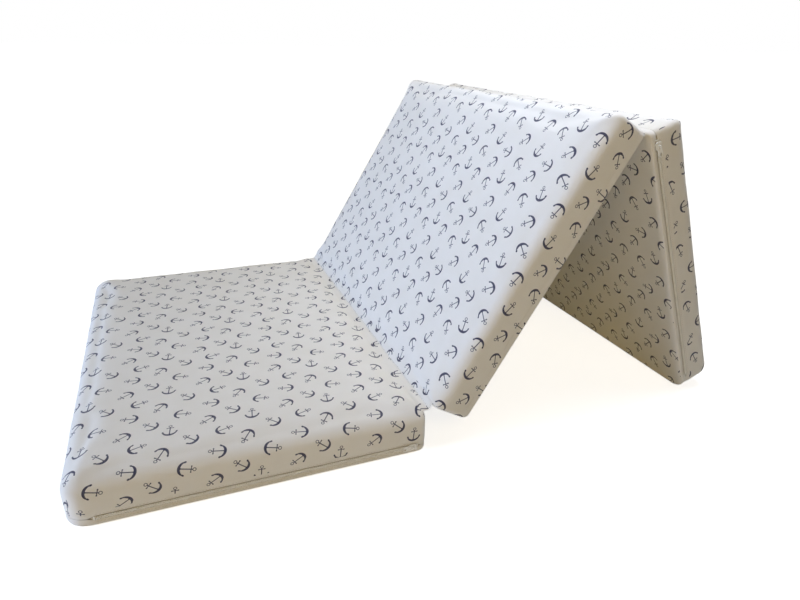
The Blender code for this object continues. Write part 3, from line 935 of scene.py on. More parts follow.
    def soften(self, points: np.ndarray) -> np.ndarray:
        """Crown the top panel and draw the side walls in a little between their corners."""
        sizes = self.sizes
        x, y, z = points.T
        along = (x - sizes.length / 2) / (sizes.length / 2)
        across = y / (sizes.width / 2)
        rise = np.clip((z - sizes.seam_height) / (sizes.box_height - sizes.seam_height), 0, 1)
        waist = sizes.waist * np.sin(pi * rise) ** 2
        crown = self.start_crown
        x = x - waist * along * (1 - across**2)
        y = y - waist * across * (1 - along**2)
        z = z + crown * rise**2 * (1 - along**2) * (1 - across**2)
        return np.stack((x, y, z), 1)

    def unsettle(self, cushion: bpy.types.Object) -> None:
        """Leave the cloth a little uneven, as it is over soft foam, but straight at its seam."""
        sizes = self.sizes
        for vertex in cushion.data.vertices:
            spot = vertex.co.copy()
            rise = min(max((spot.z - sizes.seam_height) / (sizes.box_height - sizes.seam_height), 0), 1)
            wave = noise.noise(self.place @ spot / self.rumple_wave)
            vertex.co = spot + vertex.normal * (wave * self.rumple * rise)

    def rolled(self, path: np.ndarray, radius: np.ndarray) -> np.ndarray:
        """Length of cloth from a panel's flat part over a rounded edge to a place on the wall."""
        safe = np.maximum(radius, TINY)
        bend = safe * np.clip((path + safe) / (2 * safe), 0, 1) * pi / 2
        return bend + np.maximum(path - radius, 0) + np.minimum(path + radius, 0)

    def lay_out_cloth(self, cushion: bpy.types.Object) -> None:
        """Map the flat cloth onto the cushion: walls carry on from their panel, in metres."""
        mesh, sizes = cushion.data, self.sizes
        spots = at_corners(mesh, read_rows(mesh.attributes["box"].data, "vector", 3))
        side = np.repeat(read_rows(mesh.attributes["side"].data, "value", 1, int), 4)
        height = np.repeat(spots[:, 2].reshape(-1, 4).mean(1), 4)
        under = side == Side.BASE
        plain = (side == Side.NEAR) & (height < max(sizes.seam_height, self.facing))
        x, y, z = spots.T
        right, far = x > sizes.length / 2, y > 0
        down = sizes.box_height - z
        flat = []
        choices = (
            (right, x, 0.0, sizes.length, Side.LEFT, Side.RIGHT),
            (far, y, -sizes.width / 2, sizes.width / 2, Side.NEAR, Side.FAR),
        )
        for high, place, start, end, low_side, high_side in choices:
            radius = self.edge_radius(~under, high, low_side, high_side)
            from_edge = np.where(high, end - place, place - start)
            on_wall = np.where((side == low_side) | (side == high_side), down, 0)
            length = self.rolled(on_wall - from_edge, radius)
            flat.append(np.where(high, end - radius + length, start + radius - length))
        flat = np.stack(flat, 1)
        below = self.base_lay.on_cloth(flat * np.array((-1, 1)))
        flat = np.where(under[:, None], below, self.top_lay.on_cloth(flat))
        flat[plain, 0] += PLAIN_CLOTH
        write_cloth_map(mesh, flat)

    def inflate(self, cushion: bpy.types.Object) -> None:
        """Let the cover's upper part swell under pressure, by no more than the swell allows."""
        mesh, scene = cushion.data, bpy.context.scene
        before = read_points(mesh)
        held = cushion.vertex_groups.new(name="held")
        held.add([i for i, p in enumerate(before) if p[2] <= self.sizes.seam_height + CLOSE], 1.0, "REPLACE")
        activate(cushion)
        cloth = cushion.modifiers.new("swelling", "CLOTH")
        for name, value in CLOTH_FEEL.items():
            setattr(cloth.settings, name, value)
        cloth.settings.uniform_pressure_force = self.pressure
        cloth.settings.effector_weights.gravity = 0
        cloth.settings.vertex_group_mass = held.name
        cloth.point_cache.frame_start = 1
        cloth.point_cache.frame_end = self.frames
        for frame in range(1, self.frames + 1):
            scene.frame_set(frame)
        bpy.ops.object.modifier_apply(modifier=cloth.name)
        scene.frame_set(1)
        moved = read_points(mesh) - before
        outward = np.sign(before[:, :2] - np.array((self.sizes.length / 2, 0)))
        moved[:, :2] = np.maximum(moved[:, :2] * outward, 0) * outward
        length = np.linalg.norm(moved, axis=1, keepdims=True)
        LOG.info("%s swelled %.1f mm before the cap", cushion.name, length.max() / MM)
        share = np.tanh(length / self.swell) * self.swell / np.maximum(length, TINY)
        write_points(mesh, before + moved * share)

    def limit_crown(self, cushion: bpy.types.Object) -> None:
        """Keep the crown below the section's thickness, so that two sections can lie face to face."""
        points = read_points(cushion.data)
        above = points[:, 2] - self.sizes.box_height
        share = min((self.sizes.crown - self.sizes.clearance) / above.max(), 1.0)
        points[:, 2] -= np.maximum(above, 0) * (1 - share)
        write_points(cushion.data, points)

    def cut_at_seam(self, cushion: bpy.types.Object) -> list[bpy.types.Object]:
        """Cut the cushion along its seam into the cover top and the cover base."""
        activate(cushion)
        heights = {}
        box = cushion.data.attributes["box"].data
        for face in cushion.data.polygons:
            heights[face.index] = sum(box[i].vector.z for i in face.vertices) / len(face.vertices)
        bpy.ops.object.mode_set(mode="EDIT")
        select_parts(cushion, "faces", lambda f: heights[f.index] < self.sizes.seam_height)
        bpy.ops.mesh.separate(type="SELECTED")
        bpy.ops.object.mode_set(mode="OBJECT")
        base = next(o for o in bpy.context.selected_objects if o != cushion)
        return [cushion, base]

    def opening(self, along: np.ndarray) -> np.ndarray:
        """How far open the zip's slit is along the near side, from zero to one."""
        start, end = self.zip_ends()
        return np.clip(np.minimum(along - start, end - along) / self.sizes.lip, 0, 1)

    def zip_ends(self) -> tuple[float, float]:
        """Where the straight part of the near side starts and ends."""
        corners = self.edges.corners
        return corners[Side.LEFT], self.sizes.length - corners[Side.NEAR]

    def open_slit(self, part: bpy.types.Object) -> None:
        """Part the cloth on the near side for the zip, and draw the seam in all round."""
        mesh, sizes = part.data, self.sizes
        x, y, z = read_rows(mesh.attributes["box"].data, "vector", 3).T
        upper = z.max() > sizes.box_height / 2
        reach = sizes.box_height - max(self.edges.top) - sizes.seam_height if upper else sizes.seam_height
        from_seam = abs(z - sizes.seam_height)
        near = y <= -sizes.width / 2 + CLOSE
        share = np.clip(1 - from_seam / reach, 0, 1) * near
        lift = share * self.opening(x) * sizes.slit / 2
        rim = np.clip(1 - from_seam / (sizes.seam_height / 3), 0, 1)
        lift = lift + rim * self.rim_gap * (1 - self.opening(x))
        points = read_points(mesh)
        inward = np.array((sizes.length / 2, 0)) - points[:, :2]
        half = np.array((sizes.length, sizes.width)) / 2
        heading = np.sign(inward) * np.maximum(abs(inward) - half + self.corner_reach, 0)
        heading = heading / np.maximum(np.linalg.norm(heading, axis=1, keepdims=True), TINY)
        points[:, :2] += heading * (rim * np.where(near, self.groove, self.seam_groove))[:, None]
        lift = lift if upper else -lift
        points[:, 2] += lift
        write_points(mesh, points)
        self.follow_print(mesh, lift)

    def follow_print(self, mesh: bpy.types.Mesh, lift: np.ndarray) -> None:
        """Keep the print unstretched where the near wall was moved away from the seam."""
        flat = read_rows(mesh.uv_layers[CLOTH_MAP].data, "uv", 2)
        upwards = self.top_lay.on_cloth(np.array((0, 1))) - self.top_lay.on_cloth(np.zeros(2))
        write_cloth_map(mesh, flat + np.outer(at_corners(mesh, lift), upwards))

    def finish(self, part: bpy.types.Object, node: str, cotton: bpy.types.Material) -> None:
        part.vertex_groups.clear()
        apply_modifier(part, "SOLIDIFY", thickness=self.cloth_thickness, offset=-1.0, use_even_offset=True,
                       edge_crease_outer=self.crease)
        apply_modifier(part, "SUBSURF", levels=1, render_levels=1)
        for name in ("box", "side"):
            part.data.attributes.remove(part.data.attributes[name])
        dress(part, f"{node}_cloth", cotton, self.place, CLOTH_EDGE)
        declare(part, f"{self.name}_section", node)


@dataclass
class FoamCore:
    """The slab of foam in a cover: sawn square, with softened edges and a faintly uneven face."""

    name: str
    place: Matrix
    sizes: SectionSizes = field(default_factory=SectionSizes)
    side_ease: float = 0.0062
    face_ease: float = 0.0045
    edge: float = 0.014
    corner: float = 0.030
    uneven: float = 0.0004
    wave: float = 0.09
    fill: float = 0.95

    def build(self, foam: bpy.types.Material) -> bpy.types.Object:
        sizes, node = self.sizes, f"{self.name}_foam_core"
        half = sizes.width / 2 - self.side_ease
        slab = add_block(node, (self.side_ease, -half, self.face_ease),
                         (sizes.length - self.side_ease, half, sizes.box_height - self.face_ease))
        bevel(slab, runs_along(2), self.corner, 4)
        bevel(slab, sharp, self.edge, 3)
        edit(slab, "faces", whole, bpy.ops.mesh.subdivide, number_cuts=5)
        points = read_points(slab.data)
        phase = points / self.wave * tau
        points[:, 2] += self.uneven * np.sin(phase[:, 0]) * np.cos(phase[:, 1] * 0.8)
        write_points(slab.data, points)
        dress(slab, f"{node}_slab", foam, self.place, CUT_EDGE)
        declare(slab, f"{self.name}_section", node)
        return slab


@dataclass
class ZipKit:
    """One section's zip: two tapes, a coil, two stops, and the slider with its pull.

    Its own frame is the section's: the coil runs along the near side, and +x is the way from the
    left stop to the right one. The stitches that hold it lie on the cover.
    """

    name: str
    place: Matrix
    edges: CoverEdges
    slider_side: Side
    sizes: SectionSizes = field(default_factory=SectionSizes)
    end_ease: float = 0.0056
    tape_width: float = 0.0054
    tape_thickness: float = 0.0007
    tape_split: float = 0.0004
    tape_tail: float = 0.005
    tape_depth: float = 0.0018
    tape_ripple: float = 0.009
    coil_width: float = 0.0044
    coil_thickness: float = 0.0016
    coil_lift: float = 0.0015
    tooth_pitch: float = 0.0024
    tooth_length: float = 0.0019
    tooth_edge: float = 0.0004
    stop_length: float = 0.002
    stop_width: float = 0.0052
    stop_gap: float = 0.0003
    slider_length: float = 0.011
    slider_width: float = 0.0086
    slider_plate: float = 0.0011
    slider_edge: float = 0.00045
    slider_clearance: float = 0.0004
    slider_shares: tuple = (
        (-1.0, 0.60), (-0.86, 0.86), (-0.6, 1.0), (0.1, 1.0), (0.62, 0.84), (0.9, 0.62), (1.0, 0.42),
    )
    flange: float = 0.0008
    flange_depth: float = 0.0014
    flange_share: float = 0.72
    park_margin: float = 0.0005
    lug_radius: float = 0.0009985
    lug_thickness: float = 0.0009
    lug_width: float = 0.0014
    lug_root: float = 0.0004
    pull_length: float = 0.013
    pull_width: float = 0.0072
    pull_neck: float = 0.0046
    pull_thickness: float = 0.001
    pull_pin: float = 0.0012
    pull_clearance: float = 0.0003
    pull_edge: float = 0.00024
    stitch: float = 0.0026
    stitch_gap: float = 0.0009
    stitch_radius: float = 0.00022
    stitch_from_slit: float = 0.0019

    @property
    def height(self) -> float:
        """Height of the coil's middle line."""
        return self.sizes.seam_height

    @property
    def span(self) -> tuple[float, float]:
        """Where the coil starts and ends along the near side."""
        corners = self.edges.corners
        return corners[Side.LEFT] + self.end_ease, self.sizes.length - corners[Side.NEAR] - self.end_ease

    @property
    def coil_front(self) -> float:
        """Depth of the coil's front."""
        return -self.sizes.width / 2 + self.coil_lift - self.coil_thickness

    def build(self, finishes: Finishes, covers: list[bpy.types.Object]) -> None:
        """Make the whole zip.

        Args:
            finishes: the mattress's materials.
            covers: the section's cover top and cover base, which the stitches lie on.
        """
        name, body = self.name, f"{self.name}_section"
        start, end = self.span
        pieces = [
            (self.tape(1), "tape_upper", "band", finishes.tape, "zip_tape", CUT_EDGE),
            (self.tape(-1), "tape_lower", "band", finishes.tape, "zip_tape", CUT_EDGE),
            (self.coil(), "coil", "teeth", finishes.nylon, "zip_nylon", COIL_EDGE),
        ]
        words = ("top", "bottom") if self.slider_side == Side.LEFT else ("bottom", "top")
        for word, low in zip(words, (start - self.stop_gap - self.stop_length, end + self.stop_gap)):
            pieces.append((self.stop(low), f"{word}_stop", "crimp", finishes.enamel, "zip_enamel", CUT_EDGE))
        for piece, node, form, material, slot, angle in pieces:
            dress(piece, f"{name}_zip_{node}_{form}", material, self.place, angle)
            declare(piece, body, f"{name}_zip_{node}")
        for piece, node, form in ((self.slider(), "slider", "body"), (self.pull(), "pull", "tab")):
            dress(piece, f"{name}_zip_{node}_{form}", finishes.enamel, self.place @ self.parked(), CAST_EDGE)
            declare(piece, f"{name}_{node}", f"{name}_zip_{node}")
        for word, side, cover in zip(("upper", "lower"), (1, -1), covers):
            row = self.stitches(side, cover)
            dress(row, f"{name}_zip_stitches_{word}", finishes.thread, self.place, CLOTH_EDGE)
            declare(row, body, None)

    def parked(self) -> Matrix:
        """Where the slider stands: at the stop on its side, turned round at the right one."""
        start, end = self.span
        inset = self.park_margin + self.slider_length / 2
        turned_round = self.slider_side == Side.RIGHT
        stand = (end - inset if turned_round else start + inset, self.coil_front, self.height)
        return Matrix.Translation(stand) @ Matrix.Rotation(pi if turned_round else 0, 4, "Y")

    def tape(self, side: int) -> bpy.types.Object:
        """One woven tape, with rounded edges and a slight ripple."""
        start, end = self.span
        inner = self.height + side * self.tape_split / 2
        outer = inner + side * self.tape_width
        front = -self.sizes.width / 2 + self.tape_depth
        tape = add_block("tape", (start - self.tape_tail, front, min(inner, outer)),
                         (end + self.tape_tail, front + self.tape_thickness, max(inner, outer)))
        bevel(tape, runs_along(0), self.tape_thickness / 3, 2)
        edit(tape, "edges", runs_along(0), bpy.ops.mesh.subdivide, number_cuts=90)
        points = read_points(tape.data)
        points[:, 1] += self.tape_thickness / 12 * np.sin(points[:, 0] / self.tape_ripple * tau)
        write_points(tape.data, points)
        write_cloth_map(tape.data, at_corners(tape.data, points)[:, (0, 2)])
        return tape

    def coil(self) -> bpy.types.Object:
        """Two rows of teeth that interlock over a flat cord."""
        start, end = self.span
        back = self.coil_front + self.coil_thickness
        cord_half = self.coil_width * 0.42
        cord_front = self.coil_front + self.coil_thickness * 0.45
        cord = add_block("cord", (start, cord_front, self.height - cord_half),
                         (end, back, self.height + cord_half))
        bevel(cord, runs_along(0), self.coil_thickness / 5, 2)
        count = int((end - start) / self.tooth_pitch)
        pitch = (end - start) / count
        rows = [cord]
        for side in (1, -1):
            low = start + (pitch - self.tooth_length) / 2 + (pitch / 2 if side > 0 else 0)
            reach = self.coil_width / 2 * side
            near = -reach * 0.28
            tooth = add_block("tooth", (low, self.coil_front, self.height + min(near, reach)),
                              (low + self.tooth_length, back - self.coil_thickness / 4,
                               self.height + max(near, reach)))
            bevel(tooth, sharp, self.tooth_edge, 1)
            apply_modifier(tooth, "ARRAY", count=count - (side > 0), use_relative_offset=False,
                           use_constant_offset=True, constant_offset_displace=(pitch, 0, 0))
            rows.append(tooth)
        return join(rows)

    def stop(self, low: float) -> bpy.types.Object:
        """A crimp bent round the end of the coil."""
        def pressed(face: bmesh.types.BMFace) -> bool:
            """The front faces inside the crimp's rim."""
            reach = max(abs(v.co.z - self.height) for v in face.verts)
            return face.normal.y < -0.9 and reach < half * 0.86

        half = self.stop_width / 2
        back = self.coil_front + self.coil_thickness
        stop = add_block("stop", (low, self.coil_front, self.height - half),
                         (low + self.stop_length, back, self.height + half))
        bevel(stop, sharp, self.stop_length / 5, 3)
        edit(stop, "faces", lambda f: f.normal.y < -0.9, bpy.ops.mesh.inset, thickness=self.stop_length / 8)
        edit(stop, "faces", pressed, bpy.ops.transform.translate, value=(0, self.stop_length / 12, 0))
        return stop

    def slider(self) -> bpy.types.Object:
        """The slider's face plate with its flanges and the lug that holds the pull."""
        front = -self.slider_clearance - self.slider_plate
        plate = self.outlined_plate(front)
        inner = self.coil_width / 2 + self.slider_clearance
        reach = self.flange_share * self.slider_length / 2
        parts = [plate]
        for low in (inner, -inner - self.flange):
            rail = add_block("rail", (-reach, front + self.slider_plate / 2, low),
                             (reach, front + self.slider_plate / 2 + self.flange_depth, low + self.flange))
            bevel(rail, sharp, self.flange / 5, 2)
            parts.append(rail)
        parts.append(self.lug(front))
        return join(parts)

    def outlined_plate(self, front: float) -> bpy.types.Object:
        """A plate cut to the slider's outline, wide at its mouth, with a rounded, crowned face."""
        def crosses_face(edge: bmesh.types.BMEdge) -> bool:
            """The long edges that cross the plate's face."""
            level = abs(edge.verts[0].co.x - edge.verts[1].co.x) < CLOSE
            return level and edge.calc_length() > self.slider_width / 3 and in_front(edge)

        def in_front(edge: bmesh.types.BMEdge) -> bool:
            """The edges on the front half of the plate."""
            return all(v.co.y < front + self.slider_plate / 2 for v in edge.verts)

        half, half_width = self.slider_length / 2, self.slider_width / 2
        plate = add_block("plate", (-half, front, -half_width), (half, front + self.slider_plate, half_width))
        edit(plate, "edges", runs_along(0), bpy.ops.mesh.subdivide, number_cuts=len(self.slider_shares) - 2)
        points = read_points(plate.data)
        order = np.rint((points[:, 0] / half + 1) / 2 * (len(self.slider_shares) - 1)).astype(int)
        shares = np.array(self.slider_shares)[order]
        points[:, 0] = shares[:, 0] * half
        points[:, 2] = np.sign(points[:, 2]) * shares[:, 1] * half_width
        write_points(plate.data, points)
        bevel(plate, lambda e: sharp(e) and in_front(e), self.slider_edge, 3)
        edit(plate, "edges", crosses_face, bpy.ops.mesh.subdivide, number_cuts=3)
        return plate

    def lug(self, front: float) -> bpy.types.Object:
        """An arch over the pull's pin, spun from its foot and let into the plate."""
        def ends(face: bmesh.types.BMFace) -> bool:
            """The two end faces of the arch."""
            return all(abs(v.co.y - axis_depth) < CLOSE for v in face.verts)

        axis_depth = front - self.lug_radius
        foot = self.lug_radius + self.lug_root
        lug = add_shape("lug", bpy.ops.mesh.primitive_plane_add, (self.lug_thickness, self.lug_width, 1),
                        size=1, rotation=(pi / 2, 0, 0),
                        location=(self.lug_radius + self.lug_thickness / 2, axis_depth, 0))
        edit(lug, "faces", whole, bpy.ops.mesh.spin, steps=12, angle=pi,
             center=(0, axis_depth, 0), axis=(0, 0, 1))
        if max(v.co.y for v in lug.data.vertices) > axis_depth + CLOSE:
            raise RuntimeError("the lug's arch points into the slider")
        edit(lug, "faces", ends, bpy.ops.mesh.extrude_region_move,
             TRANSFORM_OT_translate={"value": (0, foot, 0)})
        face_outwards(lug)
        bevel(lug, lambda e: sharp(e) and any(v.co.y < front for v in e.verts), self.lug_width / 7, 2)
        return lug

    def pull(self) -> bpy.types.Object:
        """The tab that swings on the lug: a neck with its eye, and a wide rounded end with a hole."""
        axis_depth = -self.slider_clearance - self.slider_plate - self.lug_radius
        bowl = self.pull_width / 2
        middle = self.pull_length - bowl
        tab = add_shape("pull", bpy.ops.mesh.primitive_cylinder_add, vertices=40, radius=bowl,
                        depth=self.pull_thickness, rotation=(pi / 2, 0, 0), location=(middle, axis_depth, 0))
        eye_end = self.lug_radius + self.lug_thickness + self.pull_clearance
        points = read_points(tab.data)
        behind = points[:, 0] < middle - CLOSE
        turn = np.arctan2(points[:, 2], middle - points[:, 0])
        neck = self.pull_neck / 2
        share = np.clip(abs(turn) / (pi / 2), 0, 1)
        turns = (0, 0.25, 0.55, 1)
        along = np.interp(share, turns, (-self.pull_pin / 2, -self.pull_pin / 2, eye_end, middle))
        wide = np.interp(share, turns, (0, neck, neck, bowl))
        points[:, 0] = np.where(behind, along, points[:, 0])
        points[:, 2] = np.where(behind, np.sign(turn) * wide, points[:, 2])
        write_points(tab.data, points)
        gap = self.lug_width / 2 + self.pull_clearance
        eye = add_block("eye", (self.pull_pin / 2, axis_depth - 2 * self.pull_thickness, -gap),
                        (eye_end, axis_depth + 2 * self.pull_thickness, gap))
        bevel(eye, runs_along(1), gap / 3, 3)
        hole = add_shape("hole", bpy.ops.mesh.primitive_cylinder_add, (1.25, 1, 1), vertices=28,
                         radius=bowl * 0.42, depth=4 * self.pull_thickness, rotation=(pi / 2, 0, 0),
                         location=(middle + bowl * 0.1, axis_depth, 0))
        for cutter in (eye, hole):
            apply_modifier(tab, "BOOLEAN", object=cutter, operation="DIFFERENCE", solver="EXACT")
            activate(cutter)
            bpy.ops.object.delete()
        bevel(tab, lambda e: sharp(e) and abs(e.verts[0].co.y - e.verts[1].co.y) < CLOSE, self.pull_edge, 2)
        return tab

    def stitches(self, side: int, cover: bpy.types.Object) -> bpy.types.Object:
        """A row of stitches beside the zip, each bent down into the cover at its ends."""
        start, end = self.span
        row_height = self.height + side * (self.sizes.slit / 2 + self.stitch_from_slit)
        step = self.stitch + self.stitch_gap
        row = add_shape("stitches", bpy.ops.mesh.primitive_cylinder_add, vertices=6,
                        radius=self.stitch_radius, depth=self.stitch, rotation=(0, pi / 2, 0),
                        location=(start + self.stitch / 2, 0, row_height))
        edit(row, "edges", runs_along(0), bpy.ops.mesh.subdivide, number_cuts=2)
        points = read_points(row.data)
        out = abs(points[:, 0] - start - self.stitch / 2) / (self.stitch / 2)
        points[:, 1] += self.stitch_radius * (2 * out**2 - 1)
        points[:, 2] = row_height + (points[:, 2] - row_height) * (1 - 0.4 * out**4)
        write_points(row.data, points)
        apply_modifier(row, "ARRAY", count=int((end - start) / step), use_relative_offset=False,
                       use_constant_offset=True, constant_offset_displace=(step, 0, 0))
        points = read_points(row.data)
        back = self.place.inverted()
        heading = self.place.to_3x3() @ Vector((0, 1, 0))
        for point in points:
            spot = self.place @ Vector((point[0], -self.sizes.width / 2 - 0.02, point[2]))
            hit, found, _, _ = cover.ray_cast(spot, heading)
            if hit:
                point[1] += (back @ found).y
            else:
                point[1] -= self.sizes.width / 2
        write_points(row.data, points)
        return row


@dataclass
class HingeStrip:
    """A band of cover cloth that joins two sections along a fold.

    It lies on a face of each section and meets itself in a soft crease where the faces would
    cross. Its long edges are sewn down and sink into the covers.
    """

    name: str
    bodies: tuple[str, str]
    axis: Vector
    runs: tuple[Vector, Vector]
    normals: tuple[Vector, Vector]
    covers: tuple[bpy.types.Object, bpy.types.Object]
    lays: tuple
    reach: float = 0.0125
    hold: float = 0.0095
    soft: float = 0.0028
    lift: float = 0.00035
    sink: float = 0.0006
    thickness: float = 0.0007
    half_width: float = 0.2925
    rows: int = 90
    look_from: float = 0.05
    past_edge: float = -0.005
    sewn_share: float = 0.3

    def steps(self) -> list[float]:
        """Distances from the crease at which the band's points stand, on one side."""
        reach, soft = self.reach, self.soft
        return [reach, reach * 0.86, self.hold, reach * 0.6, reach * 0.44, soft * 1.35, soft]

    def height(self, side: int, across: float, away: float) -> float:
        """Height of a section's face above the fold's axis, found by looking down on it."""
        spot = self.axis + self.runs[side] * away + self.normals[side] * self.look_from
        spot.y = across
        hit, found, _, _ = self.covers[side].ray_cast(spot, -self.normals[side])
        return (found - self.axis).dot(self.normals[side]) if hit else self.past_edge

    def build(self, cotton: bpy.types.Material) -> bpy.types.Object:
        steps = self.steps()
        count = 2 * len(steps) + 3
        band = add_shape(self.name, bpy.ops.mesh.primitive_grid_add, x_subdivisions=count - 1,
                         y_subdivisions=self.rows, size=1)
        points = read_points(band.data)
        column = np.rint((points[:, 0] + 1 / 2) * (count - 1)).astype(int)
        row = np.rint((points[:, 1] + 1 / 2) * self.rows).astype(int)
        flat = np.empty((len(points), 2))
        for index in range(self.rows + 1):
            across = self.half_width * (2 * index / self.rows - 1)
            line, cloth = self.profile(across)
            chosen = row == index
            points[chosen] = line[column[chosen]]
            flat[chosen] = cloth[column[chosen]]
        write_points(band.data, points)
        for layer in list(band.data.uv_layers):
            band.data.uv_layers.remove(layer)
        write_cloth_map(band.data, at_corners(band.data, flat))
        toward = self.normals[0] + self.normals[1]
        if sum((face.normal.dot(toward) for face in band.data.polygons)) < 0:
            edit(band, "faces", whole, bpy.ops.mesh.flip_normals)
        apply_modifier(band, "SOLIDIFY", thickness=self.thickness, offset=-1.0)
        apply_modifier(band, "SUBSURF", levels=1, render_levels=1)
        dress(band, f"{self.name}_band", cotton, Matrix(), CLOTH_EDGE)
        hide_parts(self.name)
        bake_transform(band)
        LOG.info("%s: %d faces", band.name, len(band.data.polygons))
        return band

    def profile(self, across: float) -> tuple[np.ndarray, np.ndarray]:
        """The band's points from one edge to the other at one place along the fold.

        Args:
            across: the place along the fold.

        Returns:
            The points, and where each lies on the printed cloth.
        """
        held = [self.height(side, across, self.hold) for side in (0, 1)]
        apart = self.runs[0].angle(self.runs[1])
        level = sum(held) / 2
        tilt = 1 if (self.runs[0] + self.runs[1]).dot(self.normals[0]) > 0 else -1
        offset = level / np.tan(apart / 2) * tilt
        sides = []
        for side in (0, 1):
            places = []
            for away in self.steps():
                at = away + offset
                if away >= self.hold - CLOSE:
                    height = self.height(side, across, at)
                else:
                    height = level + (held[side] - level) * away / self.hold
                share = min((self.reach - away) / (self.reach * self.sewn_share), 1.0)
                height += self.lift * share - self.sink * (1 - share)
                spot = self.axis + self.runs[side] * at + self.normals[side] * height
                places.append(((spot.x, across, spot.z), at))
            sides.append(places)
        start, end = (np.array(sides[side][-1][0]) for side in (0, 1))
        cross = self.axis + self.runs[0] * offset + self.normals[0] * (level + self.lift)
        control = np.array((cross.x, across, cross.z))
        middle = []
        for t in (0.25, 0.5, 0.75):
            middle.append((1 - t)**2 * start + 2 * t * (1 - t) * control + t**2 * end)
        line = [place for place, _ in sides[0]] + middle + [place for place, _ in reversed(sides[1])]
        cloth = []
        for index, point in enumerate(line):
            side = 0 if index < len(line) / 2 else 1
            matrix, lay = self.lays[side]
            local = matrix.inverted() @ Vector(point)
            down = max(SectionSizes().box_height - local.z, 0)
            cloth.append(lay.on_cloth(np.array((local.x - down, local.y))))
        return np.array(line), np.array(cloth)


@dataclass(frozen=True)
class Viewpoint:
    """The photograph's camera: where it stands, where it looks and how wide it sees."""

    place: tuple[float, float, float] = (-0.0591, -0.8601, 0.4672)
    yaw: float = radians(21.5)
    pitch: float = radians(23.35)
    roll: float = radians(1.0)
    focal_share: float = 608.2 / 800
    sensor: float = 36.0

    def build(self) -> None:
        """Set up the scene's camera."""
        forward = Vector((sin(self.yaw) * cos(self.pitch), cos(self.yaw) * cos(self.pitch), -sin(self.pitch)))
        level = Vector((cos(self.yaw), -sin(self.yaw), 0))
        upright = level.cross(forward)
        right = cos(self.roll) * level + sin(self.roll) * upright
        up = -sin(self.roll) * level + cos(self.roll) * upright
        lens = bpy.data.cameras.new("viewpoint")
        lens.sensor_width = self.sensor
        lens.lens = self.sensor * self.focal_share
        lens.clip_start = 0.01
        camera = bpy.data.objects.new("viewpoint", lens)
        bpy.context.scene.collection.objects.link(camera)
        turned = Matrix((right, up, -forward)).transposed().to_4x4()
        camera.matrix_world = Matrix.Translation(self.place) @ turned
        bpy.context.scene.camera = camera


@dataclass(frozen=True)
class Lamp:
    """A soft panel of light aimed at the object: where it stands, its size, power and colour."""

    name: str
    place: tuple[float, float, float]
    size: float
    power: float
    colour: str
    target: tuple[float, float, float] = (0.2, 0.0, 0.12)

    def build(self) -> None:
        """Hang the lamp."""
        light = bpy.data.lights.new(self.name, "AREA")
        light.shape = "DISK"
        light.size = self.size
        light.energy = self.power
        light.color = linear(self.colour)[:3]
        lamp = bpy.data.objects.new(self.name, light)
        bpy.context.scene.collection.objects.link(lamp)
        lamp.location = self.place
        aim = Vector(self.target) - Vector(self.place)
        lamp.rotation_euler = aim.to_track_quat("-Z", "Y").to_euler()


